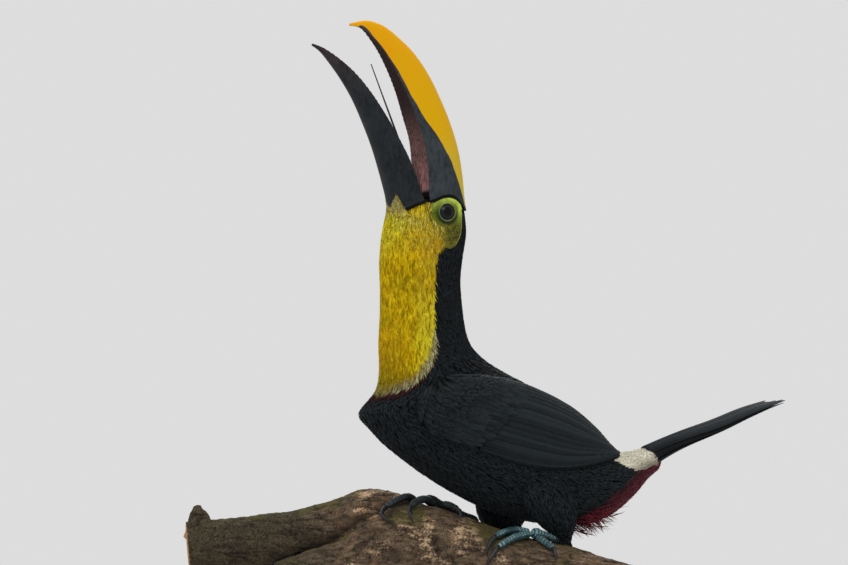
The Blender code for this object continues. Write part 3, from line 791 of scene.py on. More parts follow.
@dataclass(frozen=True)
class Bark:
    """Old bark: brown and dark mottles, small pinkish tan flakes, moss, sawn ends, painted shade in
    the fork.
    """

    name: str = "bark"
    dark: Colour = paint(30, 24, 20)
    brown: Colour = paint(106, 88, 70)
    grey: Colour = paint(124, 112, 92)
    tan: Colour = paint(196, 166, 132)
    rust: Colour = paint(134, 98, 70)
    olive: Colour = paint(72, 68, 50)
    moss: Colour = paint(74, 72, 34)
    wood: Colour = paint(172, 138, 98)
    ring: Colour = paint(146, 112, 78)

    def make(self) -> Material:
        """Make the finish.

        Returns:
            The material.
        """
        recipe = Recipe(self.name)
        fine = recipe.noise(1.7, 6.0)
        medium = recipe.noise(4.5, 5.0, (0.5, 1.0, 1.0), HEADING)
        coarse = recipe.noise(18.0, 4.0)
        fibre = recipe.noise(3.4, 5.0, (0.25, 1.0, 1.0), HEADING)
        dusk = recipe.mark("dusk")
        light = fibre * 0.75 + fine * 0.65 + recipe.mark("flake") * 0.25
        moss = recipe.mark("moss") * (0.2 + 0.8 * fine + 0.4 * medium)
        rings = (recipe.mark("ring") * 1.3 + coarse * 6.0 + fine).wave()
        colour = recipe.layers(
            self.dark, ((medium * 0.7 + fine * 0.7).rise(0.42, 0.9), self.brown),
            (fibre.rise(0.48, 0.72) * 0.6, self.grey), (coarse.rise(0.5, 0.7) * 0.35, self.rust),
            (dusk * 0.8, recipe.layers(self.dark, (fine.rise(0.3, 0.7), self.olive))),
            (light.rise(0.86, 1.1) * (0.9 - 0.8 * dusk), self.tan),
            (moss.rise(0.35, 0.85) * 0.7, self.moss), (coarse.rise(0.5, 0.32) * 0.45, self.dark),
            # Dark cracks, and painted shade in the crease where the limb leaves the stem.
            (recipe.mark("crack") * 0.8, self.dark),
            ("sawn", recipe.layers(self.wood, (rings.rise(-0.8, 1.0) * 0.7, self.ring))))
        return recipe.finish(colour, 0.88 - 0.1 * fine, fine + 1.2 * medium, 1.2,
                             Specular_IOR_Level=0.12)


@dataclass(frozen=True)
class PolishedWood:
    """Dark stained wood of the stand's base, with grain along its length."""

    name: str = "stained_wood"

    def make(self) -> Material:
        """Make the finish.

        Returns:
            The material.
        """
        recipe = Recipe(self.name)
        broad = recipe.noise(22.0, 3.0, (0.12, 1.0, 1.0), HEADING)
        fine = recipe.noise(1.2, 4.0, (0.06, 1.0, 1.0), HEADING)
        lines = ((broad * 34.0 + fine * 1.5).wave() * 0.5 + 0.5) ** 2.0
        colour = recipe.layers(paint(72, 46, 29), (lines * 0.7, paint(44, 27, 18)),
                               (fine.rise(0.45, 0.75) * 0.6, paint(27, 17, 12)))
        return recipe.finish(colour, 0.4 + 0.15 * fine, fine, 0.08, Coat_Weight=0.15,
                             Coat_Roughness=0.3, Specular_IOR_Level=0.3)


@dataclass(frozen=True)
class PaintedRod:
    """Dark painted metal of the stand's rods."""

    name: str = "painted_rod"

    def make(self) -> Material:
        """Make the finish.

        Returns:
            The material.
        """
        recipe = Recipe(self.name)
        wear = recipe.noise(7.0, 4.0)
        colour = recipe.layers(paint(38, 39, 41), (wear.rise(0.4, 0.8), paint(58, 58, 60)))
        return recipe.finish(colour, 0.4 + 0.2 * wear, recipe.noise(0.6, 2.0), 0.04,
                             Specular_IOR_Level=0.5)


# -------- forms that feathers lie on


class Surface:
    """A form that feathers lie on: u runs with the lie of the coat and v across it."""

    step_u = 0.05
    step_v = 1.0
    facing = 1.0

    def outer(self, u: Array, v: Array) -> Array:
        """Give points of the form's outer surface."""
        raise NotImplementedError

    def _steps(self, u: Array, v: Array) -> tuple[Array, Array]:
        """Give the ways from just before a place to just after it, along u and along v."""
        return (self.outer(u + self.step_u, v) - self.outer(u - self.step_u, v),
                self.outer(u, v + self.step_v) - self.outer(u, v - self.step_v))

    def normal(self, u: Array, v: Array) -> Array:
        """Give the direction straight out of the surface."""
        along, around = self._steps(u, v)
        return unit(np.cross(around, along)) * self.facing

    def point(self, u: Array, v: Array, lift: Array) -> Array:
        """Give points at some height over the outer surface."""
        return self.outer(u, v) + self.normal(u, v) * np.asarray(lift, float)[..., None]

    def pace(self, u: Array, v: Array) -> Array:
        """Tell how long units of u and v are.

        Args:
            u: Places along the coat.
            v: Places across it.

        Returns:
            The millimetres of one unit of u and of one unit of v, on the last axis.
        """
        along, around = self._steps(u, v)
        lengths = stacked(np.linalg.norm(along, axis=-1) / (2 * self.step_u),
                          np.linalg.norm(around, axis=-1) / (2 * self.step_v))
        return np.maximum(lengths, 1e-3)


@dataclass(frozen=True)
class Body(Surface):
    """The body: one loft of ellipses from the seat of the bill to the seat of the tail.

    u counts sections and v is the angle in degrees from the back over the left side.
    """

    # Each section: point on the back (y, z), point on the breast or belly (y, z), half width.
    sections: Stations = (
        (-9, 449, -74, 444, 19.0), (-8, 438, -77, 433, 20.5), (-6.6, 425, -80, 419, 23.5),
        (-5.6, 408, -83, 402, 26.5), (-9, 389, -84, 382, 28.0), (-11.6, 367, -83, 361, 29.0),
        (-10, 344, -83, 337, 30.5), (-7, 324, -84, 312, 33.0), (-2, 311, -83, 288, 37.0),
        (7, 302, -87, 269, 41.0), (19, 294, -103, 251, 43.5), (34, 286, -93, 238, 45.0),
        (49, 279, -81, 226, 45.5), (64, 271, -64, 213, 45.5), (79, 263, -42, 198, 44.5),
        (94, 254, -14, 182, 42.5), (109, 242, 19, 167, 39.5), (122, 230, 52, 158, 36.5),
        (134, 220, 88, 154, 32.5), (145, 216, 124.5, 159, 28.0), (156, 217, 149, 175, 23.0),
        (168, 219, 166, 192, 17.0), (178, 218, 178, 201, 12.5),
    )
    gape: Pair = (-49.5, 439.0)
    seat_slopes: Pair = (-6.5, 15.5)

    @property
    def last(self) -> float:
        """Give the place of the last section."""
        return len(self.sections) - 1.0

    def outer(self, u: Array, v: Array) -> Array:
        """Give points of the body's outer surface.

        Args:
            u: Sections.
            v: Angles from the back in degrees.

        Returns:
            The points.
        """
        rows = Track(self.sections).at(np.clip(u, 0.0, self.last))
        back, front = rows[..., 0:2], rows[..., 2:4]
        turn = np.radians(v)
        middle = (back + front) / 2 + (back - front) / 2 * np.cos(turn)[..., None]
        return stacked(rows[..., 4] * np.sin(turn), middle[..., 0], middle[..., 1])

    def unwrap(self, u: Array, v: Array) -> Array:
        """Give the place of a point on the flat unwrap of the body."""
        return 0.02 + 0.95 * stacked((v % 360.0) / 360.0, u / self.last)

    def side(self, points: Array) -> Array:
        """Give the head's half width.

        Args:
            points: Points whose y and z tell the place.

        Returns:
            The half widths, 0 outside the head.
        """
        place = points[..., 1:]
        low = np.zeros(place.shape[:-1])
        high = np.full(low.shape, 5.0)
        track = Track(self.sections)
        for _ in range(30):
            u = (low + high) / 2
            rows = track.at(u)
            spans = rows[..., 0:2] - rows[..., 2:4]
            offset = place - rows[..., 2:4]
            away = offset[..., 0] * spans[..., 1] - offset[..., 1] * spans[..., 0]
            low = np.where(away > 0, u, low)
            high = np.where(away > 0, high, u)
        rows = track.at(low)
        spans = (rows[..., 0:2] - rows[..., 2:4]) / 2
        middle = (rows[..., 0:2] + rows[..., 2:4]) / 2
        share = ((place - middle) * spans).sum(-1) / (spans**2).sum(-1)
        return rows[..., 4] * np.sqrt(np.clip(1.0 - share**2, 0.0, None))


TORSO = Body()


@dataclass(frozen=True)
class Wing(Surface):
    """A folded wing: a plate over the body's side. u runs from shoulder to tip, v down across."""

    # 1 for the left wing, -1 for the right one.
    hand: float
    # Upper and lower edge (section and angle of the body), height of the inner side, thickness.
    top: Stations = ((8.9, 92), (10.2, 52), (12.6, 25), (15.4, 15), (18.1, 12))
    bottom: Stations = ((9.2, 108), (11.6, 124), (14.0, 112), (16.2, 86), (18.3, 32))
    lift: Stations = ((1.1,), (1.0,), (1.0,), (1.1,), (2.2,))
    thickness: Stations = ((3.0,), (6.0,), (5.5,), (4.6,), (1.8,))
    edge: float = 0.8
    last = 4.0
    step_v = 0.02

    @property
    def facing(self) -> float:
        """Give the sign that makes the normal point out."""
        return self.hand

    def outer(self, u: Array, v: Array) -> Array:
        """Give points of the wing's outer surface.

        Args:
            u: Stations from the shoulder to the tip.
            v: Shares of the way down across.

        Returns:
            The points.
        """
        u = np.clip(u, 0.0, self.last)
        top, bottom = Track(self.top).at(u), Track(self.bottom).at(u)
        spot = top + (bottom - top) * np.asarray(v, float)[..., None]
        share = np.clip(v, 0.0, 1.0)
        rounding = np.clip(1.0 - (2.0 * share - 1.0) ** 2, 0.0, None) ** 0.6
        start = np.minimum(1.0, 4.0 * np.sqrt(u / self.last))
        full = Track(self.thickness).at(u)[..., 0]
        height = self.edge + (full - self.edge) * rounding * start
        point = TORSO.point(spot[..., 0], spot[..., 1], Track(self.lift).at(u)[..., 0] + height)
        return point * np.array((self.hand, 1.0, 1.0))

    def unwrap(self, u: Array, v: Array) -> Array:
        """Give the place of a point on the flat unwrap of the wing."""
        return stacked(0.03 + 0.92 * np.clip(v, 0, 1), 0.03 + 0.92 * u / self.last)


@dataclass(frozen=True)
class Thigh(Surface):
    """A feathered thigh. u counts stations downwards and v is the angle round it in degrees."""

    # Each station: middle (x, y, z), half width, half depth.
    stations: Stations
    share: float
    facing = -1.0

    @property
    def last(self) -> float:
        """Give the place of the last station."""
        return len(self.stations) - 1.0

    def outer(self, u: Array, v: Array) -> Array:
        """Give points of the thigh's outer surface, running on straight below its end.

        Args:
            u: Stations.
            v: Angles round the thigh in degrees.

        Returns:
            The points.
        """
        beyond = np.clip(np.asarray(u, float) - self.last, 0.0, None)
        rows = Track(self.stations).at(np.clip(u, 0.0, self.last))
        turn = np.radians(v)
        return stacked(rows[..., 0] + rows[..., 3] * np.cos(turn),
                       rows[..., 1] + rows[..., 4] * np.sin(turn), rows[..., 2] - 8.0 * beyond)

    def unwrap(self, u: Array, v: Array) -> Array:
        """Give the place of a point on the flat unwrap of both thighs."""
        return stacked(self.share + 0.45 * (v % 360.0) / 360.0,
                       0.03 + 0.9 * np.clip(u / self.last, 0.0, 1.0))


LEFT_THIGH = Thigh((
    (17, 56, 203, 11, 19), (24, 60, 186, 18, 26), (27, 66, 168, 17, 23), (27, 72, 154, 12, 15),
    (26, 76, 146, 8, 9), (25, 78, 139.5, 5.4, 5.8),
), 0.02)
RIGHT_THIGH = Thigh((
    (-17, 50, 204, 11, 20), (-24, 47, 188, 18, 27), (-26, 44, 172, 17, 25),
    (-26, 43, 162, 15, 22), (-26, 43, 155, 12, 18), (-25.5, 46, 149, 8, 12),
), 0.52)


@dataclass(frozen=True)
class Orbit:
    """The eye's place and the bare skin round it, on the middle plane of the head."""

    y: float = -31.2
    z: float = 427.0
    # The eyeball's radius, and the head's half width where it is hollow round it.
    ball: float = 10.0
    socket: float = 21.4
    patch_middle: Pair = (-30.0, 426.8)
    patch_reach: Pair = (16.6, 13.4)
    lobe_middle: Pair = (-25.2, 409.0)
    lobe_reach: Pair = (8.6, 13.2)
    lobe_slant: float = 0.34
    blend: float = 6.0
    # Upper border of the head's feathers and bare skin, against the bill: y, height.
    rim: Stations = ((-90, 426), (-69, 428), (-61, 431.8), (-53, 435), (-47.5, 435), (-41.5, 436.8),
                     (-35, 439.4), (-28.5, 440.5), (-22.5, 439), (-17.5, 436), (-14, 432.5),
                     (-10, 430), (-5, 428.6), (0, 428))

    def away(self, points: Array) -> Array:
        """Give how far from the eye's middle points are, seen from the side."""
        return np.hypot(points[..., 1] - self.y, points[..., 2] - self.z)

    def around(self, away: Array, turn: Array) -> Array:
        """Give points of the middle plane round the eye."""
        return stacked(0.0, self.y + away * np.cos(turn), self.z + away * np.sin(turn))

    def bare(self, points: Array) -> Array:
        """Tell how far inside the bare skin places are.

        Args:
            points: Points whose y and z tell the place.

        Returns:
            Millimetres, less than 0 outside.
        """
        y, z = points[..., 1], points[..., 2]
        across = (y - self.patch_middle[0]) / self.patch_reach[0]
        up = (z - self.patch_middle[1]) / self.patch_reach[1]
        patch = (1.0 - np.hypot(across, up)) * self.patch_reach[1]
        drop = z - self.lobe_middle[1]
        across = (y - self.lobe_middle[0] - self.lobe_slant * drop) / self.lobe_reach[0]
        lobe = (1.0 - np.hypot(across, drop / self.lobe_reach[1])) * self.lobe_reach[0]
        near = np.clip(0.5 + 0.5 * (patch - lobe) / self.blend, 0.0, 1.0)
        both = lobe + (patch - lobe) * near + self.blend * near * (1.0 - near)
        return np.minimum(both, self.below_bill(points) + 0.3)

    def below_bill(self, points: Array) -> Array:
        """Give how far below the bill's base points are."""
        return np.interp(points[..., 1], *zip(*self.rim)) - points[..., 2]


ORBIT = Orbit()


@dataclass(frozen=True)
class Markings:
    """Where the plumage changes colour on the body."""

    # Bib's side border: section, angle from the front; and its lower border the other way round.
    side_places: Sequence[float] = (0, 3.0, 3.3, 3.48, 3.62, 3.85, 4.4, 5.0, 5.6, 6.4, 12)
    side_angles: Sequence[float] = (134, 133, 125, 115, 103, 95, 93, 92, 90.5, 88, 88)
    low_angles: Sequence[float] = (0, 40, 52, 66, 77, 85, 91, 105)
    low_places: Sequence[float] = (8.97, 8.93, 8.85, 8.48, 8.02, 7.45, 6.6, 5.0)
    # Borders at the tail's root: the point where they meet and their slopes.
    apex: Pair = (152.0, 201.0)
    covert_slope: float = 14.0
    crissum_slope: float = 38.0
    cream_slope: float = 157.0
    # Plane where the cream starts on the back, between the wings' tips: a point and its slope.
    back: Pair = (134.0, 219.0)
    back_slope: float = 31.6
    # Plane where the cream coverts end over the tail: a point and its slope.
    root: Pair = (167.5, 221.0)
    root_slope: float = 26.6
    # Millimetres of a degree round the body and of a section along it.
    degree: float = 0.6
    section: float = 21.0

    @staticmethod
    def _over(point: Array, through: Pair, slope: float) -> Array:
        """Give the height of points over a sloped plane through a place of the middle plane."""
        turn = math.radians(slope)
        return ((point[..., 2] - through[1]) * math.cos(turn)
                - (point[..., 1] - through[0]) * math.sin(turn))

    def zones(self, u: Array, v: Array) -> Marks:
        """Judge places of the body.

        Args:
            u: Sections.
            v: Angles from the back.

        Returns:
            Named masks from 0 to 1; and millimetres: depth inside the bib's lower border, beside
            inside its side border, past the coverts' end over the tail.
        """
        point = TORSO.outer(u, v)
        front = np.abs(v % 360.0 - 180.0)
        beside = (np.interp(u, self.side_places, self.side_angles) - front) * self.degree
        below = (np.interp(front, self.low_angles, self.low_places) - u) * self.section
        bib = ease(np.minimum(beside, below), -0.4, 0.4)
        head = ease(-u, -4.2, -3.8) * ease(np.abs(point[..., 0]), 6.0, 8.0)
        tail = ease(u, 16.4, 16.6)
        over = self._over(point, self.apex, self.covert_slope)
        turn = math.radians(self.root_slope)
        past = ((point[..., 1] - self.root[0]) * math.cos(turn)
                + (point[..., 2] - self.root[1]) * math.sin(turn))
        cream = ease(over, -0.4, 0.4)
        cream = cream * ease(-self._over(point, self.apex, self.cream_slope), -0.4, 0.4)
        cream = cream * ease(-self._over(point, self.back, self.back_slope), -0.4, 0.4)
        inside = -self._over(point, self.apex, self.crissum_slope)
        crimson = ease(-over, -0.4, 0.4) * ease(inside, -0.4, 0.4)
        wide = 2.0 + 5.0 * ease(-front, -88.0, -50.0)
        return {
            "bib": bib,
            "fringe": bib * ease(-below / (1.0 + 0.5 * ease(front, 45.0, 75.0)), -13.0, -0.5)
            * (0.4 + 0.6 * ease(front, 5.0, 60.0)),
            "band": (1.0 - bib) * ease(below, -wide - 1.0, -wide + 1.0) * ease(u, 6.6, 7.4)
            * ease(-front, -94.0, -88.0),
            "bare": ease(ORBIT.bare(point), -0.3, 0.3) * head,
            "cream": cream * tail,
            "crimson": crimson * tail,
            "depth": below,
            "beside": beside,
            "past": past,
            "shade": np.where(over > 0, ease(-over, -10.0, 1.0), ease(-inside, -12.0, 0.0)),
        }


MARKINGS = Markings()


# -------- the coat


@dataclass(frozen=True)
class Vane:
    """The shape of one kind of feather, in millimetres and degrees.

    Its root lies as deep as depth under the form, and its tip is proud of it and stands off it by
    the share stand of its length. It has points in rows along it and columns across. It strays
    from the lie of the coat by turn, curves by bend, and its end is ragged by a share of its length.
    """

    length: float
    width: float
    depth: float
    rows: int = 4
    proud: float = 0.2
    stand: float = 0.0
    root_width: float = 0.4
    fullest: float = 0.5
    tip_width: float = 0.06
    thickness: float = 0.25
    camber: float = 0.12
    ragged: float = 0.06
    turn: float = 7.0
    bend: float = 8.0
    columns: int = 3

    def outline(self, share: Array) -> Array:
        """Work out the feather's width.

        Args:
            share: Shares of its length.

        Returns:
            The half widths there.
        """
        opening = self.root_width + (1.0 - self.root_width) * ease(share, 0.0, self.fullest)
        closing = np.clip((share - self.fullest) / (1.0 - self.fullest), 0.0, 1.0) ** 2.2
        return self.width / 2 * opening * (1.0 - (1.0 - self.tip_width) * closing)

    def section(self) -> Array:
        """Work out the ring round the feather.

        Returns:
            The place across it and the height over its middle of each point.
        """
        if self.columns == 3:
            return np.array(((-1.0, 0.0), (0.0, 1.0), (1.0, 0.0)))
        across = np.linspace(-1.0, 1.0, self.columns)
        ridge = np.where(np.abs(across) < 0.08, 1.6, 1.0)
        under = across[-2:0:-1]
        return np.concatenate((stacked(across, ridge * (1.0 - 0.75 * np.abs(across))),
                               stacked(under, -0.4 * (1.0 - np.abs(under)))))


class Coat:
    """Feathers of one piece, gathered and then joined into one mesh."""

    # Size of a feather on the flat unwrap.
    PATCH = 0.003

    def __init__(self, name: str, seed: int) -> None:
        """Start an empty coat.

        Args:
            name: The name of the piece.
            seed: The seed of its random draws.
        """
        self.name = name
        self.rng = np.random.default_rng(seed)
        self.shapes: list[Shape] = []
        self.marks: list[Marks] = []
        self.maps: list[Array] = []

    def roots(self, surface: Surface, u_range: Pair, v_range: Pair, gap: Pair) -> Array:
        """Place roots in staggered rows over a patch of a surface.

        Args:
            surface: The form.
            u_range: Where the patch starts and ends along the lie of the coat.
            v_range: Where it starts and ends across.
            gap: Millimetres from row to row and from root to root.

        Returns:
            The places (u, v) of the roots.
        """
        rows = []
        probe = np.linspace(*v_range, 49)
        u = u_range[0]
        while u < u_range[1]:
            line = surface.outer(np.full(len(probe), u), probe)
            length = np.append(0.0, np.cumsum(np.linalg.norm(np.diff(line, axis=0), axis=1)))
            count = max(3, round(length[-1] / gap[1]))
            share = (np.arange(count) + 0.5 * (len(rows) % 2) + 0.25) / count
            share += self.rng.uniform(-0.4, 0.4, count) / count
            v = np.interp(np.clip(share, 0, 1) * length[-1], length, probe)
            pace = surface.pace(np.full(count, u), v)[:, 0]
            step = gap[0] / np.quantile(pace, 0.75)
            rows.append(stacked(u + self.rng.uniform(-0.4, 0.4, count) * step, v))
            u += step
        return np.concatenate(rows)

    def _spread(self, count: int) -> Array:
        """Draw bell-shaped random numbers without outliers."""
        return np.clip(self.rng.normal(0.0, 1.0, count), -1.9, 1.9)

    def strokes(self, surface: Surface, roots: Array, vane: Vane, size: Array,
                lean: Array | float = 0.0) -> Array:
        """Turn lengths and directions into the way that each feather runs.

        Args:
            surface: The form.
            roots: Places (u, v) of the roots.
            vane: The kind of feather.
            size: Each feather's size beside the kind's own.
            lean: Each feather's direction in degrees from the lie of the coat.

        Returns:
            How far each feather runs along u and v.
        """
        heading = np.radians(lean + vane.turn * self._spread(len(roots)))
        pace = surface.pace(roots[:, 0], roots[:, 1])
        return stacked(np.cos(heading), np.sin(heading)) * (vane.length * size)[:, None] / pace

    def lay(self, surface: Surface, roots: Array, reach: Array, vane: Vane, size: Array,
            marks: Marks, unwrap: Array, lift: Array | float = 0.0) -> None:
        """Lay feathers on a surface.

        Args:
            surface: The form.
            roots: Places (u, v) of the roots.
            reach: How far each feather runs along u and v.
            vane: The kind of feather.
            size: Each feather's width beside the kind's own.
            marks: Named numbers, one for each feather.
            unwrap: The place of each root on the flat unwrap.
            lift: How much higher each feather lies than its kind.
        """
        count = len(roots)
        if not count:
            return
        ring = vane.section()
        share = np.linspace(0.0, 1.0, vane.rows)[:, None]
        stretch = self.rng.uniform(-1.0, 1.0, (count, 1, len(ring))) * vane.ragged
        place = share * (1.0 + stretch * share)
        turn = self._spread(count)[:, None, None] * np.radians(vane.bend)
        u, v = (roots[:, axis, None, None] + reach[:, axis, None, None] * place for axis in (0, 1))
        pace = surface.pace(*roots.T)
        length = np.linalg.norm(reach * pace, axis=-1)[:, None, None]
        v = v + turn * length * place**2 / pace[:, 1, None, None]
        height = -vane.depth + (vane.depth + vane.proud) * place**0.8
        height = height + vane.stand * length * place**2 + np.reshape(lift, (-1, 1, 1))
        middle = surface.point(u, v, height)
        ahead = unit(np.gradient(middle.mean(axis=2), axis=1))
        out = surface.normal(u.mean(axis=2), v.mean(axis=2))
        across = unit(np.cross(ahead, out))[:, :, None]
        half = (vane.outline(share[:, 0]) * np.reshape(size, (-1, 1)))[..., None]
        thick = vane.thickness * (1.0 - 0.6 * share) * ring[:, 1]
        sag = vane.camber * half * (1.0 - ring[:, 0] ** 2)
        points = middle + across * (half * ring[:, 0])[..., None]
        points = points + out[:, :, None] * (thick + sag)[..., None]
        self._keep(points, share, ring[:, 0], marks, unwrap)

    def _keep(self, points: Array, along: Array, across: Array, marks: Marks,
              unwrap: Array) -> None:
        """Store laid feathers.

        Args:
            points: Their points, in rows of rings.
            along: The share of the length of each ring.
            across: The place across of each point of a ring.
            marks: Named numbers, one for each feather.
            unwrap: The place of each root on the flat unwrap.
        """
        count, rows, sides = points.shape[:3]
        starts = np.arange(count)[:, None, None] * (rows * sides)
        rims = (np.arange(sides)[::-1], np.arange(sides) + (rows - 1) * sides)
        faces = [(grid_faces(rows, sides, wrap=True) + starts).reshape(-1, 4)]
        faces += [(rim + starts).reshape(-1, sides) for rim in rims]
        self.shapes.append((points.reshape(-1, 3), faces))
        along, across = (np.broadcast_to(part, points.shape[:3]).ravel() for part in (along, across))
        named = marks | {"tone": self.rng.uniform(0.0, 1.0, count)}
        named = {name: np.repeat(values, rows * sides) for name, values in named.items()}
        self.marks.append(named | {"along": along, "across": across})
        self.maps.append(np.repeat(unwrap, rows * sides, axis=0)
                         + stacked(across * 0.5, along - 0.5) * self.PATCH)

    def join(self) -> Item:
        """Make the coat's mesh."""
        marks = {name: np.concatenate([part[name] for part in self.marks])
                 for name in self.marks[0]}
        return mesh_object(self.name, merged(self.shapes), marks, np.concatenate(self.maps))


class Zone(Enum):
    """The parts of the body's coat, by their colours."""

    BIB = "bib"
    BLACK = "black"
    BAND = "band"
    CREAM = "cream"
    CRIMSON = "crimson"


@dataclass(frozen=True)
class BodyCoat:
    """One piece of the body's coat: a patch of the body, a zone, and the kind of feather."""

    name: str
    slot: str
    zone: Zone
    u_range: Pair
    v_range: Pair
    gap: Pair
    vane: Vane
    seed: int
    # Degrees by which the lie of the coat wanders, and the strength of the shade at its borders.
    swirl: float = 8.0
    shaded: float = 1.0
    plumage: str = ""
    # Where along a feather its colour is judged.
    seen = 0.6

    def build(self, finish: Material) -> None:
        """Lay, join and dress the piece.

        Args:
            finish: The finish of the piece.
        """
        coat = Coat(self.name, self.seed)
        roots = coat.roots(TORSO, self.u_range, self.v_range, self.gap)
        root = TORSO.outer(*roots.T)
        swirl = Grain(self.seed).layered(root, 26.0, 2)
        size = coat.rng.uniform(0.8, 1.15, len(roots))
        reach = coat.strokes(TORSO, roots, self.vane, size, self.swirl * swirl)
        seen = roots + reach * self.seen
        tip = roots + reach
        zones, ends = (MARKINGS.zones(np.minimum(spot[:, 0], TORSO.last), spot[:, 1])
                       for spot in (seen, tip))
        keep = self._belongs(zones) & (zones["bare"] < 0.5) & (ORBIT.below_bill(root) > -0.6)
        keep &= MARKINGS.zones(*roots.T)["bare"] < 0.5
        if self.zone is Zone.BIB:
            keep &= ends["beside"] > -0.5
        if self.zone is Zone.CREAM:
            keep &= (ends["past"] < 1.0) & (tip[:, 0] < TORSO.last)
        roots, reach, size, seen = roots[keep], reach[keep], size[keep], seen[keep]
        marks = self._marks(seen, {name: mask[keep] for name, mask in zones.items()})
        coat.lay(TORSO, roots, reach, self.vane, size, marks, TORSO.unwrap(*roots.T))
        settle(coat.join(), self.slot, (), finish)

    def _belongs(self, zones: Marks) -> Array:
        """Tell which feathers are of the piece's zone.

        Args:
            zones: The body's markings where each feather is seen.

        Returns:
            Whether each feather belongs.
        """
        named = {zone: zones[zone.value] > 0.5 for zone in Zone if zone is not Zone.BLACK}
        named[Zone.BLACK] = ~np.any(list(named.values()), axis=0)
        return named[self.zone]

    def _marks(self, seen: Array, zones: Marks) -> Marks:
        """Work out the numbers that the finish reads.

        Args:
            seen: The place (u, v) of each feather's seen part.
            zones: The body's markings there.

        Returns:
            The numbers of each feather, by name.
        """
        point = TORSO.outer(np.minimum(seen[:, 0], TORSO.last), seen[:, 1])
        front = np.abs(seen[:, 1] % 360.0 - 180.0)
        patchy = Grain(5).layered(point, 20.0, 3)
        other = Grain(6).layered(point, 16.0, 3)
        below = -zones["depth"]
        belly = ease(seen[:, 0], 5.6, 7.4) * ease(-front, -72.0, -30.0)
        throat = ease(-seen[:, 0], -4.4, -1.5)
        eye_side = ease(-seen[:, 0], -4.4, -3.4) * ease(front, 70.0, 100.0)
        bare = ease(ORBIT.bare(point), -6.0, -0.5) * (np.abs(point[:, 0]) > 8.0)
        # right: the sides of the bib below the throat, painted light: lighter lemon yellow, less
        # orange and olive.
        right = ease(front, 48.0, 74.0) * ease(seen[:, 0], 4.6, 6.0) * ease(below, -60.0, -24.0)
        chin = throat * ease(-front, -70.0, -20.0)
        wedge = ease(-ORBIT.below_bill(point), -10.0, -1.0) * ease(-point[:, 1], 60.0, 68.0)
        warm = 0.1 + 0.5 * belly + 0.6 * eye_side + 0.6 * patchy - 0.6 * right - 0.3 * chin
        olive = 0.05 + 0.2 * throat + 0.3 * eye_side + 0.4 * wedge
        # The olive low on the breast is painted shade; the rest of the olive is the feathers' own.
        olive = olive + 0.75 * belly * ease(below, -34.0, -8.0) + 0.45 * other + 0.95 * bare
        streaky = throat * (0.45 + 1.2 * other) + 0.25 * ease(front, 55.0, 85.0)
        # Lemon yellow: painted light on the bib's sides, and more lemon on the chin and throat.
        lemon_and_lit = right + chin * 0.9 + 0.35 * throat + 0.3 * other
        return {
            "fringe": zones["fringe"] + 0.12 * wedge,
            "warm": np.clip(warm, 0.0, 1.0),
            "olive": np.clip(olive - 0.5 * right, 0.0, 1.0),
            "streaky": np.clip(streaky, 0.0, 1.0),
            "lemon_and_lit": np.clip(lemon_and_lit, 0.0, 1.0),
            "shade": zones["shade"] * self.shaded * (self.zone in (Zone.CREAM, Zone.CRIMSON)),
        }


@dataclass(frozen=True)
class Tract:
    """A patch of feathers of one kind on a wing or thigh."""

    u_range: Pair
    v_range: Pair
    gap: Pair
    vane: Vane
    lift: float = 0.0

    def lay(self, coat: Coat, surface: Surface, limit: float) -> None:
        """Lay the patch.

        Args:
            coat: The coat that it goes to.
            surface: The form that it lies on.
            limit: The largest u that a tip may reach.
        """
        roots = coat.roots(surface, self.u_range, self.v_range, self.gap)
        size = coat.rng.uniform(0.82, 1.15, len(roots))
        reach = coat.strokes(surface, roots, self.vane, size)
        reach[:, 0] = np.minimum(reach[:, 0], limit - roots[:, 0])
        coat.lay(surface, roots, reach, self.vane, size, {"quill": np.zeros(len(roots))},
                 surface.unwrap(*roots.T), self.lift)


@dataclass(frozen=True)
class Quills:
    """A row of long feathers of a wing or tail, each over the next."""

    root_u: Pair
    tip_u: Pair
    v_span: Pair
    count: int
    vane: Vane
    lifts: Pair

    def lay(self, coat: Coat, surface: Surface, shorten: Array | float = 0.0) -> None:
        """Lay the row.

        Args:
            coat: The coat that it goes to.
            surface: The form that it lies on.
            shorten: How much u each tip stays back.
        """
        share = np.linspace(0.0, 1.0, self.count)
        u, tips, v, lift = (first + (last - first) * share for first, last in
                            (self.root_u, self.tip_u, self.v_span, self.lifts))
        roots = stacked(u, v)
        every = np.ones(self.count)
        coat.lay(surface, roots, stacked(tips - shorten - u, 0.0), self.vane, every,
                 {"quill": every}, surface.unwrap(*roots.T), lift)


COVERT = Vane(length=10.0, width=4.6, depth=1.0, proud=0.1, rows=5, tip_width=0.25, ragged=0.08,
              thickness=0.2)
GREATER = Vane(length=20.0, width=6.6, depth=0.8, proud=0.1, rows=9, columns=7, tip_width=0.4,
               ragged=0.015, turn=2.0, bend=3.0, fullest=0.3, thickness=0.35)
QUILL = Vane(length=70.0, width=10.5, depth=1.2, proud=0.1, rows=18, columns=9, tip_width=0.35,
             ragged=0.004, turn=0.0, bend=0.8, fullest=0.3, thickness=0.55, camber=0.14)


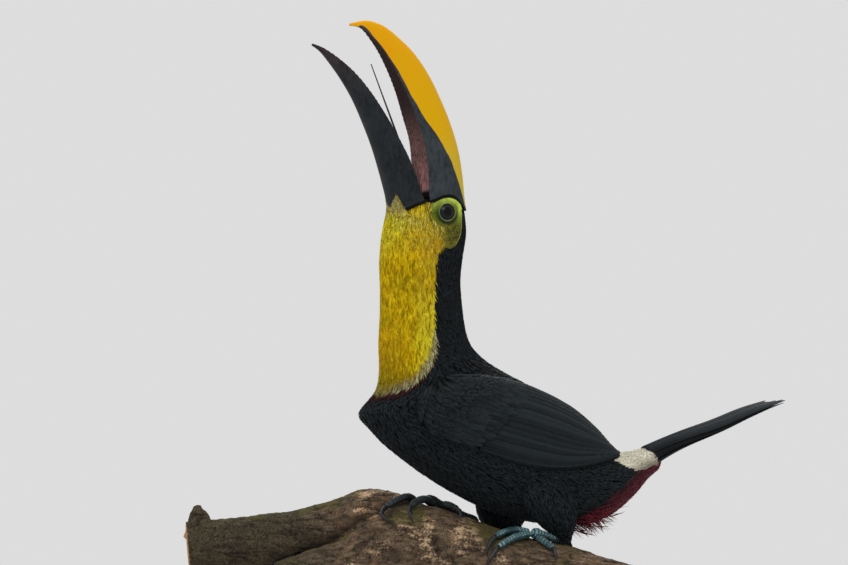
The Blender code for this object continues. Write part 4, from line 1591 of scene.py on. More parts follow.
@dataclass(frozen=True)
class WingCoat:
    """The feathers of one folded wing: coverts in rows, secondaries, and primaries below."""

    side: str
    seed: int
    tracts: tuple[Tract, ...] = (
        Tract((0.0, 1.3), (0.0, 1.0), (3.2, 2.8), COVERT, 0.7),
        Tract((1.05, 1.6), (0.04, 0.96), (5.0, 4.4), GREATER, 0.45),
    )
    quills: tuple[Quills, ...] = (
        Quills((1.3, 1.5), (3.3, 3.98), (0.06, 0.8), 14, QUILL, (0.7, -0.1)),
        Quills((1.6, 1.9), (3.8, 3.98), (0.72, 0.98), 8, QUILL, (-0.2, -0.7)),
    )

    def build(self, wing: Wing, finish: Material) -> None:
        """Lay, join and dress the wing's feathers.

        Args:
            wing: The wing.
            finish: The finish of the piece.
        """
        coat = Coat(f"wing_feathers_{self.side}", self.seed)
        for tract in self.tracts:
            tract.lay(coat, wing, 3.9)
        for row in self.quills:
            row.lay(coat, wing)
        settle(coat.join(), "black_feathers", (), finish)


@dataclass(frozen=True)
class TailFace(Surface):
    """The upper or under face of the closed tail: u runs to its tip, v from side to side."""

    # Each station: middle (y, z), half width, drop of the edges, half thickness.
    stations: Stations = (
        (167, 210.5, 12, 0, 11.0), (188, 221.0, 13.5, 1.0, 8.4), (208, 229.6, 16.5, 2.4, 6.6),
        (235, 239.5, 20, 3.2, 5.0), (262, 250.5, 22.5, 2.6, 3.5), (282, 257, 23.5, 1.0, 2.4),
        (299, 261.5, 23.5, -0.5, 1.6),
    )
    facing: float = 1.0
    # Millimetres that the tips stay back at the corners and in the middle, and of one station.
    tip_rounding: float = 8.5
    notch: float = 15.0
    station: float = 17.5
    last = 6.0
    step_v = 0.05

    def _point(self, rows: Array, side: Array, thick: Array) -> Array:
        """Give points of a section beside its middle and over its middle plane."""
        return stacked(side * rows[..., 2], rows[..., 0],
                       rows[..., 1] + thick - rows[..., 3] * side**2)

    def outer(self, u: Array, v: Array) -> Array:
        """Give points of the face.

        Args:
            u: Stations.
            v: Places from side to side, from -1 to 1.

        Returns:
            The points.
        """
        rows = Track(self.stations).at(np.clip(u, 0.0, self.last))
        v = np.asarray(v, float)
        thick = rows[..., 4] * np.sqrt(np.clip(1.0 - v**2, 0.0, None)) * self.facing
        return self._point(rows, v, thick)

    def unwrap(self, u: Array, v: Array) -> Array:
        """Give the place of a point on the flat unwrap of both faces."""
        return stacked(0.5 + self.facing * (0.25 + 0.2 * v), 0.03 + 0.9 * u / self.last)

    def shortening(self, v: Array) -> Array:
        """Round the corners and cut the middle notch.

        Args:
            v: The places of feathers from side to side.

        Returns:
            How much u their tips stay back.
        """
        corner = self.tip_rounding - 4.5 * ease(v, 0.2, 0.6)
        middle = ease(-np.abs(v), -0.55, -0.1)
        return (corner + (self.notch - corner) * middle) / self.station

    def core(self) -> Shape:
        """Make the pack of feather bases between both faces.

        Returns:
            The closed loft.
        """
        turn = full_turn(32)
        rows = Track(self.stations).at(np.linspace(0.3, 5.0, 50)[:, None])
        thick = np.maximum(rows[..., 4] - 0.9, 0.3) * np.sin(turn)
        return closed_loft(self._point(rows, -0.95 * np.cos(turn), thick))


@dataclass(frozen=True)
class TailCoat:
    """The tail: overlapping feathers above and below a closed pack of their bases."""

    vane: Vane = Vane(length=120.0, width=10.5, depth=0.6, proud=0.0, rows=26, columns=9,
                      tip_width=0.3, ragged=0.004, turn=0.0, bend=0.5, fullest=0.72,
                      thickness=0.5, camber=0.1, root_width=0.75)

    def build(self, finish: Material) -> None:
        """Lay, join and dress the tail's feathers.

        Args:
            finish: The finish of the piece.
        """
        coat = Coat("tail_feathers", 61)
        for facing, spread, count in ((1.0, 0.8, 10), (-1.0, 0.74, 9)):
            face = TailFace(facing=facing)
            for side in (-1.0, 1.0):
                v = side * spread * (np.arange(count // 2) + 0.5) / (count // 2)
                row = Quills((0.02, 0.02), (face.last, face.last), (v[0], v[-1]), len(v),
                             self.vane, (0.2, -0.35))
                row.lay(coat, face, face.shortening(v))
        shape = TailFace().core()
        every = np.ones(len(shape[0]))
        core = mesh_object("tail_core", shape, {
            "along": 0.3 * every, "across": 0.0 * every, "tone": 0.3 * every})
        settle(coat.join(), "black_feathers", ("tail",), finish)
        settle(core, "black_feathers", (), finish)


@dataclass(frozen=True)
class ThighCoat:
    """Loose black feathers of both thighs, ragged round the heels."""

    tracts: tuple[Tract, ...] = (
        Tract((0.2, 4.4), (0.0, 360.0), (2.6, 2.3),
              Vane(length=13.0, width=3.0, depth=1.6, proud=0.5, stand=0.03, rows=5, ragged=0.15,
                   turn=12.0, bend=14.0)),
        Tract((3.9, 4.95), (0.0, 360.0), (1.6, 1.5),
              Vane(length=12.0, width=1.7, depth=1.4, proud=0.8, stand=0.1, rows=5, ragged=0.3,
                   turn=16.0, bend=18.0)),
    )

    def build(self, finish: Material) -> None:
        """Lay, join and dress the thighs' feathers.

        Args:
            finish: The finish of the piece.
        """
        coat = Coat("thigh_feathers", 71)
        for thigh in (LEFT_THIGH, RIGHT_THIGH):
            for tract in self.tracts:
                tract.lay(coat, thigh, 7.0)
        settle(coat.join(), "black_feathers", (), finish)


# -------- skin, eyes and legs


@dataclass(frozen=True)
class Skin:
    """The one skin under the coat, from the bill's seat to the tail, with wings and thighs."""

    wings: tuple[Wing, Wing]
    voxel: float = 1.45
    opening: float = 6.8
    reach: float = 34.0
    # Height of the lid over the face, by how far from the eye's middle.
    lid_places: Sequence[float] = (6.8, 7.1, 7.4, 7.8, 8.3, 9.0, 9.9, 10.9)
    lid_heights: Sequence[float] = (-1.0, 0.05, 0.55, 0.75, 0.6, 0.2, 0.0, 0.15)

    def _depth(self, u: Array, v: Array) -> Array:
        """Give the depth of the coat over the body.

        Args:
            u: Sections of the body.
            v: Angles from its back in degrees.

        Returns:
            The depths.
        """
        bare = MARKINGS.zones(u, v)["bare"]
        near = ease(-ORBIT.below_bill(TORSO.outer(u, v)), -2.5, 0.5)
        depth = 0.8 + 1.1 * ease(u, 2.5, 5.5) + 0.9 * ease(u, 8.0, 11.0) + 1.3 * near
        return depth * (1.0 - bare) + (0.7 + 1.3 * near) * bare

    def _under_seats(self, points: Array) -> Array:
        """Flatten what stands above the seats of the bill's halves.

        Args:
            points: The points.

        Returns:
            The points, none of them above the seats.
        """
        y, height = TORSO.gape
        tops = [height + math.tan(math.radians(slope)) * (points[..., 1] - y)
                for slope in TORSO.seat_slopes]
        return stacked(points[..., 0], points[..., 1],
                       np.minimum(points[..., 2], np.minimum(*tops) - 0.1))

    def _trunk(self) -> Shape:
        """Give the body's closed loft, inside by the depth of the coat."""
        u, v = all_over(TORSO.last, 200, 2.5)
        return closed_loft(self._under_seats(TORSO.point(u, v, -self._depth(u, v))))

    def _pad(self, wing: Wing) -> Shape:
        """Make the flesh of a folded wing.

        Args:
            wing: The wing.

        Returns:
            The loft, closed inside the body.
        """
        u, turn = np.meshgrid(np.linspace(0.06, 3.9, 70), full_turn(40), indexing="ij")
        lift = np.where(np.sin(turn) > 0.0, -1.1, -4.5)
        return closed_loft(wing.point(u, 0.5 + 0.47 * np.cos(turn), lift))

    def _leg_muscle(self, thigh: Thigh) -> Shape:
        """Make a thigh without its feathers.

        Args:
            thigh: The thigh.

        Returns:
            The closed loft.
        """
        u, v = all_over(thigh.last, 50, 9.0)
        depth = np.interp(u, (0, 3.5, 5), (2.2, 1.4, 0.5))
        return closed_loft(thigh.point(u, v, -depth))

    def build(self, finishes: Sequence[Material]) -> None:
        """Fuse and dress the skin, with the bare skin round both eyes.

        Args:
            finishes: The finish under the feathers and that of the bare skin.
        """
        forms = [self._trunk(), *map(self._pad, self.wings)]
        forms += map(self._leg_muscle, (LEFT_THIGH, RIGHT_THIGH))
        points, faces, normals = fused(forms, self.voxel, 3)
        points = self._under_seats(points)
        points = points + normals * (0.25 * Grain(3).layered(points, 5.0, 3))[:, None]
        near = (ORBIT.away(points) < self.reach) & (ORBIT.bare(points) > 0.2)
        across = points[near, 0]
        limit = self._face(points[near]) - 1.1
        points[near, 0] = np.sign(across) * np.minimum(np.abs(across), limit)
        u, v = self._places(points)
        zones = MARKINGS.zones(u, v)
        marks = {name: zones[name] for name, *_ in FeatheredSkin.down}
        marks["bib"] = zones["bib"] * ease(ORBIT.below_bill(points), 0.1, 0.7)
        parts = [((points, [faces]), marks), self._orbital(1.0), self._orbital(-1.0)]
        marks = {name: np.concatenate([own.get(name, np.zeros(len(shape[0])))
                                       for shape, own in parts]) for name in marks | parts[1][1]}
        shape = merged([shape for shape, _ in parts])
        spare = np.full((len(shape[0]) - len(points), 2), 0.99)
        unwrap = np.concatenate((TORSO.unwrap(u, v), spare))
        item = mesh_object("skin", shape, marks, unwrap)
        kinds = np.zeros(len(item.data.polygons), np.int32)
        kinds[len(faces):] = 1
        item.data.polygons.foreach_set("material_index", kinds)
        settle(item, "black_feathers", (
            "head", "neck", "trunk", "rump", "uppertail_coverts", "undertail_coverts",
            "wing_left", "wing_right", "thigh_left", "thigh_right"), *finishes)

    def _places(self, points: Array) -> tuple[Array, Array]:
        """Find the body's places under the skin.

        Args:
            points: Points of the skin.

        Returns:
            The section and the angle under each point.
        """
        u, v = (places.ravel() for places in all_over(TORSO.last, 221, 3.0))
        number, _ = nearest(points, TORSO.point(u, v, -1.5))
        return u[number], v[number]

    def _face(self, points: Array) -> Array:
        """Give the half width of the bare skin without its folds, hollow round the eyeball.

        Args:
            points: Points whose y and z tell the place.

        Returns:
            The half widths.
        """
        away = ORBIT.away(points)
        head = TORSO.side(points)
        wider = np.maximum(UPPER_HALF.side(points) - head, 0.0)
        face = head + wider * ease(points[..., 2], 427.0, 434.0) * ease(away, 9.0, 12.5)
        return face + (ORBIT.socket - face) * ease(-away, -12.4, -7.7)

    def _orbital(self, side: float) -> tuple[Shape, Marks]:
        """Make the bare skin round one eye, with its lids.

        Args:
            side: 1 for the left eye, -1 for the right one.

        Returns:
            The shape, and the marks that its finish reads.
        """
        turn = full_turn(160)
        reach = np.linspace(4.0, self.reach, 301)
        within = ORBIT.bare(ORBIT.around(reach[:, None], turn)) >= 0.0
        border = reach[len(reach) - 1 - np.argmax(within[::-1], axis=0)] + 0.8
        outline = np.max([np.roll(border, step) - 1.1 * abs(step) for step in range(-18, 19)], axis=0)
        share = np.linspace(0.0, 1.0, 60)[:, None]
        away = self.opening + (outline - self.opening) * share**1.3
        place = ORBIT.around(away, turn)
        behind, over = place[..., 1] - ORBIT.y, place[..., 2] - ORBIT.z
        lid = np.interp(away, self.lid_places, self.lid_heights)
        inside = ORBIT.bare(place)
        folds = Grain(11).layered(place * np.array((1.0, 0.8, 1.5)), 2.2, 3)
        relief = lid + 0.4 * folds * ease(away, 8.1, 9.9) - 1.2 * ease(-inside, -1.4, 0.7)
        relief = relief + 0.15 * ease(-inside, -3.0, -1.4) - 1.2 * ease(-inside, 0.7, 2.6)
        relief = relief - 0.9 * ease(-ORBIT.below_bill(place), -2.0, -0.3)
        x = side * (self._face(place) + relief)
        quads = grid_faces(*x.shape, wrap=True)
        points = stacked(x, place[..., 1], place[..., 2]).reshape(-1, 3)
        low = ease(-over, -4.0, 7.0)
        rear = ease(behind, 4.0, 12.0)
        border = ease(-inside, -6.0, -2.2)
        wavy = 0.4 + 0.6 * (0.5 + 0.5 * Grain(13).layered(place, 3.5, 2))
        top = np.maximum(ease(over, -1.0, 7.0), rear * (1.0 - 0.8 * low))
        shade = ease(-away, -12.9, -9.7) * ease(away, 8.0, 8.5) * (0.3 + 0.6 * low)
        shade = shade + 0.25 * ease(-behind, 3.0, 9.0) * border * (1.0 - low)
        lid = ease(away, 7.05, 7.3) * ease(-away, -8.0, -7.6) * wavy
        marks = {
            "height": top * (1.0 - 0.5 * ease(-behind, 0.0, 8.0)) * (0.25 + 0.75 * border),
            "lobe": ease(ORBIT.z - 5.0 - place[..., 2], 0.0, 9.0),
            "shade": np.clip(shade, 0, 0.9),
            "rim": ease(-inside, -1.3, -0.7) * low * (0.15 + 0.85 * rear) * wavy,
            "lid": lid * (1.0 - 0.7 * ease(behind, 1.0, 5.0)) * (1.0 - 0.5 * ease(over, 1, 6)),
        }
        return ((points, [quads[:, ::-1] if side > 0 else quads]),
                {name: mark.ravel() for name, mark in marks.items()})


@dataclass(frozen=True)
class Eye:
    """One eyeball with a slightly bulging cornea."""

    side: str

    def build(self, finish: Material) -> None:
        """Make and dress the eyeball.

        Args:
            finish: The finish of the piece.
        """
        low, high = (np.array(corner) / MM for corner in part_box(f"eye_{self.side}"))
        sign = 1.0 if self.side == "left" else -1.0
        outermost = high[0] if sign > 0 else -low[0]
        bend = np.radians(np.linspace(1.5, 120.0, 40))[:, None]
        away = ORBIT.ball * np.sin(bend)
        rise = ORBIT.ball * np.cos(bend) + 0.35 * ease(-away, -6.7, 0.0) - 0.35
        rings = ORBIT.around(away, full_turn(72))
        rings[..., 0] = sign * (outermost - ORBIT.ball + rise)
        rings = rings if sign > 0 else rings[:, ::-1]
        reach = np.broadcast_to(np.where(bend < np.pi / 2, away, 9.9), rings.shape[:2])
        item = mesh_object(f"eyeball_{self.side}", closed_loft(rings[::-1]),
                           {"reach": reach[::-1].ravel()})
        settle(item, "eye_gloss", (f"eye_{self.side}",), finish)


@dataclass(frozen=True)
class Leg:
    """One bare leg: tarsus and four toes in one scaly skin, with scutes along each toe."""

    side: str
    scute: float = 3.3
    voxel: float = 0.5

    @property
    def nodes(self) -> tuple[str, ...]:
        """Name the solids of the leg."""
        return (f"tarsus_{self.side}", *(f"toe_{self.side}_{toe}" for toe in TOES))

    def _swollen(self, name: str) -> Shape:
        """Swell a solid a little, so that it runs into its neighbours.

        Args:
            name: The solid's name.

        Returns:
            The swollen shape.
        """
        points, (faces,) = node_shape(name)
        corners = points[faces]
        outward = np.cross(corners[:, 1] - corners[:, 0], corners[:, 2] - corners[:, 0])
        normals = np.zeros(points.shape)
        for corner in faces.T:
            np.add.at(normals, corner, outward)
        return points + 0.35 * unit(normals), [faces]

    def build(self, finish: Material) -> None:
        """Fuse, scale and dress the leg.

        Args:
            finish: The finish of the piece.
        """
        points, faces, normals = fused([self._swollen(name) for name in self.nodes], self.voxel, 5)
        best = np.full(len(points), np.inf)
        along = np.zeros(len(points))
        for name in self.nodes:
            own = node_points(name)
            middle = own.mean(0)
            axis = np.linalg.svd(own - middle, full_matrices=False)[2][0]
            _, away = nearest(points, own)
            nearer = away < best
            along[nearer] = ((points[nearer] - middle) @ axis)
            best[nearer] = away[nearer]
        wobble = Grain(17).at(points, 6.0)
        phase = np.abs(np.sin(np.pi * (along + 0.5 * wobble) / self.scute))
        scute = ease(phase, 0.12, 0.5)
        cells = ease(np.abs(Grain(19).at(points, 1.5)), 0.05, 0.35)
        upper = ease(normals[:, 2] - 0.3 * normals[:, 1], -0.45, 0.1)
        plates = scute * upper + cells * (1.0 - upper)
        points = points + normals * (0.42 * plates - 0.3)[:, None]
        item = mesh_object(f"leg_{self.side}", (points, [faces]), {
            "scute": plates, "lit": upper * ease(Grain(23).at(points, 9.0), -0.6, 0.5)})
        settle(item, "leg_skin", self.nodes, finish)


@dataclass(frozen=True)
class Claws:
    """All eight claws, smooth and hooked."""

    voxel: float = 0.38

    def build(self, finish: Material) -> None:
        """Make and dress the claws.

        Args:
            finish: The finish of the piece.
        """
        nodes = [f"claw_{side}_{toe}" for side in SIDES for toe in TOES]
        points, faces, normals = fused([node_shape(name) for name in nodes], self.voxel, 4)
        points = points + normals * 0.12
        settle(mesh_object("claws", (points, [faces])), "claw_horn", nodes, finish)


# -------- bill and tongue


@dataclass(frozen=True)
class BillHalf:
    """One half of the bill: a curved loft with sharp cutting edges and a hollow inner side."""

    name: str
    node: str
    slot: str
    # Each station: ridge or keel (y, z), middle between the cutting edges (y, z), half width.
    stations: Stations
    upper: bool
    # Length and depth of the cutting edges' teeth.
    tooth: float = 4.6
    notch: float = 0.6
    # Half of the ring round a section: shares of the half width and of the depth.
    outer_side: Stations = ((0, 1), (0.34, 0.965), (0.66, 0.85), (0.88, 0.65), (0.985, 0.40),
                            (1, 0.18), (0.975, 0))
    inner_side: Stations = ((0.975, 0), (0.87, 0.01), (0.72, 0.14), (0.40, 0.23), (0, 0.26))
    # Where yellow turns black on the side: station, and share of the depth from the cutting edge.
    border_places: Sequence[float] = (0.2, 0.75, 1.3, 2.48, 3.45, 4.65, 5.88, 6.98, 7.8, 9.2, 10.1)
    border_shares: Sequence[float] = (0.93, 0.88, 0.81, 0.64, 0.47, 0.22, 0.09, 0.075, 0.05, 0.06,
                                      0.25)

    def point(self, place: Array, side: Array, depth: Array) -> Array:
        """Give points of a section.

        Args:
            place: Where the section is, in stations.
            side: Share of the half width.
            depth: Share of the depth, from the cutting edges to the ridge.

        Returns:
            The points.
        """
        rows = Track(self.stations).at(place)
        yz = rows[..., 2:4] + (rows[..., 0:2] - rows[..., 2:4]) * np.asarray(depth)[..., None]
        return np.concatenate(((rows[..., 4] * side)[..., None], yz), -1)

    def side(self, points: Array) -> Array:
        """Give the half width of the half near its base.

        Args:
            points: Points whose y and z tell the place.

        Returns:
            The half widths, 0 outside the half.
        """
        rows = Track(self.stations).at(np.linspace(0.0, 2.5, 60))
        spans = rows[:, 0:2] - rows[:, 2:4]
        offset = points[..., None, 1:] - rows[:, 2:4]
        away = np.abs(offset[..., 0] * spans[:, 1] - offset[..., 1] * spans[:, 0])
        number = np.argmin(away / np.linalg.norm(spans, axis=-1), axis=-1)
        depth = (offset * spans).sum(-1) / (spans**2).sum(-1)
        depth = np.take_along_axis(depth, number[..., None], -1)[..., 0]
        outline = Track(self.outer_side).at(np.linspace(5.0, 0.0, 60))
        share = np.interp(np.clip(depth, 0.18, 1.0), outline[:, 1], outline[:, 0])
        return rows[number, 4] * np.where(depth > 1.0, 0.0, share)

    def _outline(self) -> tuple[Array, Array]:
        """Work out the ring round a section.

        Returns:
            Shares of the half width and the depth, and which points are on the inner side.
        """
        outer = Track(self.outer_side).at(np.linspace(0.0, 6.0, 31))
        inner = Track(self.inner_side).at(np.linspace(0.0, 4.0, 13))[1:]
        half = np.concatenate((outer, inner))
        lining = np.arange(len(half)) > 31
        other = half[-2:0:-1] * np.array((-1.0, 1.0))
        return np.concatenate((half, other)), np.concatenate((lining, lining[-2:0:-1]))

    def build(self, finish: Material) -> None:
        """Loft, mark and dress the half.

        Args:
            finish: The finish of the piece.
        """
        ring, lining = self._outline()
        last = len(self.stations) - 1
        place = np.append(0.0, np.linspace(0.0, last, 24 * last))[:, None]
        edge = self.point(place[:, 0], 0.0, np.zeros(len(place)))
        length = np.append(0.0, np.cumsum(np.linalg.norm(np.diff(edge, axis=0), axis=1)))[:, None]
        hollow = np.where(lining, 1.0 - (place / last) ** 3, 1.0)
        place, side, depth, _ = np.broadcast_arrays(place, *ring.T, hollow)
        depth = self._saw(place, side, depth * hollow, length)
        points = self.point(place, side, depth)
        points[..., 2] += np.maximum(ORBIT.below_bill(points) - 0.6, 0.0)
        below = ORBIT.below_bill(points)
        head = TORSO.side(points) + 0.5 + 0.25 * ease(below, -2.5, -1.0)
        head = head - 0.5 * ease(below, -0.9, 0.5) * ease(points[..., 1], -16.0, -11.0)
        flare = np.sign(side) * np.maximum(np.abs(points[..., 0]), head)
        skirt = (below > -6.0) & (np.abs(side) > 0.05) & ~(lining & (np.abs(side) < 0.9))
        points[..., 0] = np.where(skirt, flare, points[..., 0])
        points[0] = points[0] * np.array((0.7, 1.0, 1.0)) + np.array((0.0, 0.0, 2.0))
        wander = 0.02 * Grain(37).layered(points, 8.0, 2)
        border = np.interp(place, self.border_places, self.border_shares)
        dark = np.minimum(border + wander - depth, (10.3 - place) * 0.3)
        marks = {
            "inner": np.where(lining, 1.0, 0.0),
            "panel": dark if self.upper else 1.0,
            "base": np.maximum(below + 2.0, ORBIT.bare(points) + 1.6),
            "green": ease(below, -70.0, -2.0) * (0.6 + 0.4 * Grain(41).at(points, 12.0)),
            "warm": ease(place, 4.5, 8.5) * (0.5 + 0.4 * Grain(43).layered(points, 14.0, 3)),
            "growth": 0.5 + 0.5 * np.sin(length * 1.15 + 150.0 * wander),
            "flesh": ease(-place, -4.4, -0.6) * ease(-np.abs(side), -0.93, -0.6),
            # deep: darker lining out towards the tip, and painted shade inside the mouth next to the
            # gape.
            "deep": np.maximum(ease(place, 3.4, 5.6) * 0.85, ease(below, -9.5, -5.5)),
        }
        order = slice(None, None, -1 if self.upper else 1)
        item = mesh_object(self.name, closed_loft(points[:, order]), {
            name: np.broadcast_to(mark, place.shape)[:, order].ravel()
            for name, mark in marks.items()})
        settle(item, self.slot, (self.node,), finish)

    def _saw(self, place: Array, side: Array, depth: Array, length: Array) -> Array:
        """Cut teeth into the cutting edges.

        Args:
            place: Stations of the points.
            side: Their shares of the half width.
            depth: Their shares of the depth.
            length: Lengths along the cutting edge.

        Returns:
            The shares of the depth with the teeth.
        """
        span = Track(self.stations).at(place)
        tall = np.linalg.norm(span[..., 0:2] - span[..., 2:4], axis=-1)
        uneven = Grain(29).at(stacked(length, 0.0, 0.0), 9.0)
        saw = ease(np.sin(2.0 * np.pi * (length + 1.3 * uneven) / self.tooth), 0.2, 1.0)
        near = ease(-np.abs(depth) * tall, -2.4, 0.0) * (np.abs(side) > 0.8)
        last = len(self.stations) - 1
        reach = ease(place, 1.2, 2.2) * ease(-place, -last + 0.5, -last + 1.4)
        reach = reach * (0.55 + 0.45 * Grain(31).at(stacked(length, length, length), 14.0))
        return depth + near * reach * saw * self.notch / np.maximum(tall, 1.0)


UPPER_HALF = BillHalf("bill_ridge_half", "bill_upper", "yellow_horn", (
    (-5, 427, -47, 427, 20.8), (-7, 440, -47, 437, 20.6), (-9, 460, -47, 452, 19.4),
    (-13, 482, -48, 471, 18.4), (-20, 504, -51, 490, 16.8), (-29, 525, -58, 510, 14.8),
    (-40, 546, -65, 529, 12.4), (-53, 564, -74, 548, 9.8), (-68, 578, -84, 565, 7.4),
    (-83, 588.5, -93, 576.5, 5.2), (-98, 592.5, -103, 586, 3.2), (-114, 590, -114, 588, 1.2),
), True)
LOWER_HALF = BillHalf("bill_keel_half", "bill_lower", "black_horn", (
    (-75, 420, -51, 424, 19.0), (-77.4, 435, -52, 437, 18.8), (-84, 459, -62, 466, 18.0),
    (-92, 483, -73, 489, 16.0), (-101, 504, -85, 510, 13.6), (-111, 524, -98, 530, 10.8),
    (-122, 541, -112, 547, 8.0), (-133, 555, -127, 560, 5.2), (-142, 565, -139, 568, 3.0),
    (-150, 570.5, -149, 572, 1.2),
), False)


@dataclass(frozen=True)
class Tongue:
    """The narrow tongue with its frayed edges."""

    # Each station: middle (y, z), half width.
    stations: Stations = ((-52, 443, 4.6), (-60, 468, 3.6), (-72, 500, 2.2), (-84, 530, 1.3),
                          (-94, 555, 0.6))
    thickness: float = 0.9

    def build(self, finish: Material) -> None:
        """Make and dress the tongue.

        Args:
            finish: The finish of the piece.
        """
        turn = full_turn(20)
        place = np.linspace(0.0, 4.0, 160)[:, None]
        rows = Track(self.stations).at(place)
        fray = 1.0 - 0.22 * ease(place, 1.8, 3.4) * (np.arange(len(place))[:, None] % 4 == 1)
        height = 0.5 * self.thickness * np.sin(turn)
        rings = stacked(rows[..., 2] * np.cos(turn) * fray, rows[..., 0] - 0.92 * height,
                        rows[..., 1] - 0.38 * height)
        item = mesh_object("tongue_blade", closed_loft(rings[:, ::-1]))
        settle(item, "tongue_skin", ("tongue",), finish)


class ChinSide(Surface):
    """The outer side of the lower half's base, where chin feathers run up: u runs down it."""

    step_u = 0.02
    step_v = 0.05
    facing = -1.0

    def outer(self, u: Array, v: Array) -> Array:
        """Give points of the side.

        Args:
            u: Stations of the lower half, less than 0.
            v: Stations of its outline from the keel, less than 0 on the right.

        Returns:
            The points.
        """
        outline = Track(LOWER_HALF.outer_side).at(np.abs(v))
        point = LOWER_HALF.point(-np.asarray(u, float), np.sign(v) * outline[..., 0], outline[..., 1])
        head = TORSO.side(point) + 0.75
        wider = np.maximum(head - np.abs(point[..., 0]), 0.0) * ease(np.abs(v), 0.2, 1.0)
        point[..., 0] += np.sign(v) * wider * ease(ORBIT.below_bill(point), -7.5, -4.5)
        return point

    def unwrap(self, u: Array, v: Array) -> Array:
        """Give the place of a point on the flat unwrap of the bill's base."""
        return stacked(0.5 + 0.08 * v, 0.9 + 0.4 * u)


@dataclass(frozen=True)
class ChinCoat:
    """The small wedge of yellow-green feathers over the lower half's base."""

    vane: Vane = Vane(length=6.0, width=0.55, depth=0.1, proud=0.5, thickness=0.14,
                      ragged=0.2, turn=9.0, bend=12.0)
    # Upper border: place round the outline from the keel, and station.
    border_places: Sequence[float] = (0, 0.8, 1.4, 1.95, 2.3, 2.6, 3.0, 3.6)
    border_heights: Sequence[float] = (0.8, 0.98, 1.16, 1.36, 1.16, 0.86, 0.58, 0.45)

    def build(self, finish: Material) -> None:
        """Lay, join and dress the wedge.

        Args:
            finish: The finish of the piece.
        """
        chin = ChinSide()
        coat = Coat("chin_feathers", 83)
        roots = coat.roots(chin, (-1.4, -0.3), (-3.6, 3.6), (0.7, 0.6))
        top = np.interp(np.abs(roots[:, 1]), self.border_places, self.border_heights)
        keep = -roots[:, 0] < top + coat.rng.uniform(-0.05, 0.03, len(roots))
        roots = roots[keep & (ORBIT.below_bill(chin.outer(*roots.T)) < 1.5)]
        size = coat.rng.uniform(0.8, 1.2, len(roots))
        reach = coat.strokes(chin, roots, self.vane, size)
        reach[:, 0] = np.minimum(reach[:, 0], -0.2 - roots[:, 0])
        share = ease(-roots[:, 0], 0.5, 1.1)
        marks = {"olive": 0.5 + 0.35 * share, "streaky": np.full(len(roots), 0.8),
                 "fringe": 0.1 + 0.25 * share}
        coat.lay(chin, roots, reach, self.vane, size, marks, chin.unwrap(*roots.T))
        settle(coat.join(), "yellow_feathers", (), finish)


# -------- perch and stand


def heading_point(along: Array, across: Array, height: Array) -> Array:
    """Turn places along and across the perch's heading into the frame's, or the other way.

    Args:
        along: Millimetres along the perch, towards the tail's side.
        across: Millimetres towards the near side.
        height: Heights.

    Returns:
        The points.
    """
    turn = math.radians(HEADING)
    return stacked(along * math.cos(turn) + across * math.sin(turn),
                   along * math.sin(turn) - across * math.cos(turn), height)


@dataclass(frozen=True)
class Limb:
    """A length of branch: a knobbly round loft along a curve."""

    # Each station: along, across, height of the middle, radius.
    stations: Stations
    points_round: int = 120

    def frames(self, place: Array) -> tuple[Array, Array, Array, Array]:
        """Find the way of the limb.

        Args:
            place: Places counted in stations.

        Returns:
            The middle there and the directions ahead, near and up.
        """
        track = Track(self.stations)
        middle = heading_point(*np.moveaxis(track.at(place)[..., :3], -1, 0))
        ahead = (track.at(place + 0.02) - track.at(place - 0.02))[..., :3]
        ahead = unit(heading_point(*np.moveaxis(ahead, -1, 0)))
        near = heading_point(0.0, 1.0, 0.0)
        near = unit(near - ahead * (near * ahead).sum(-1, keepdims=True))
        up = np.cross(near, ahead)
        return middle, ahead, near, up * np.sign(up[..., 2:3])

    def shape(self) -> Shape:
        """Make the limb.

        Returns:
            The closed loft.
        """
        last = len(self.stations) - 1
        place = np.linspace(0.0, last, 24 * last)
        middle, _, near, up = (part[:, None] for part in self.frames(place))
        place = place[:, None]
        turn = full_turn(self.points_round)
        knobs = 0.025 * np.sin(3.0 * turn + 1.7 * place) + 0.02 * np.sin(2.0 * turn - place)
        reach = (Track(self.stations).at(place)[..., 3] * (1.0 + knobs))[..., None]
        return closed_loft(
            middle + reach * (up * np.cos(turn)[:, None] + near * np.sin(turn)[:, None]))

    def end(self, last: bool) -> tuple[Array, Array]:
        """Find a sawn end.

        Args:
            last: Whether it is the end at the last station.

        Returns:
            The middle of the end and the direction out of it.
        """
        place = np.array(float(len(self.stations) - 1) if last else 0.0)
        middle, ahead, _, _ = self.frames(place)
        return middle, ahead if last else -ahead


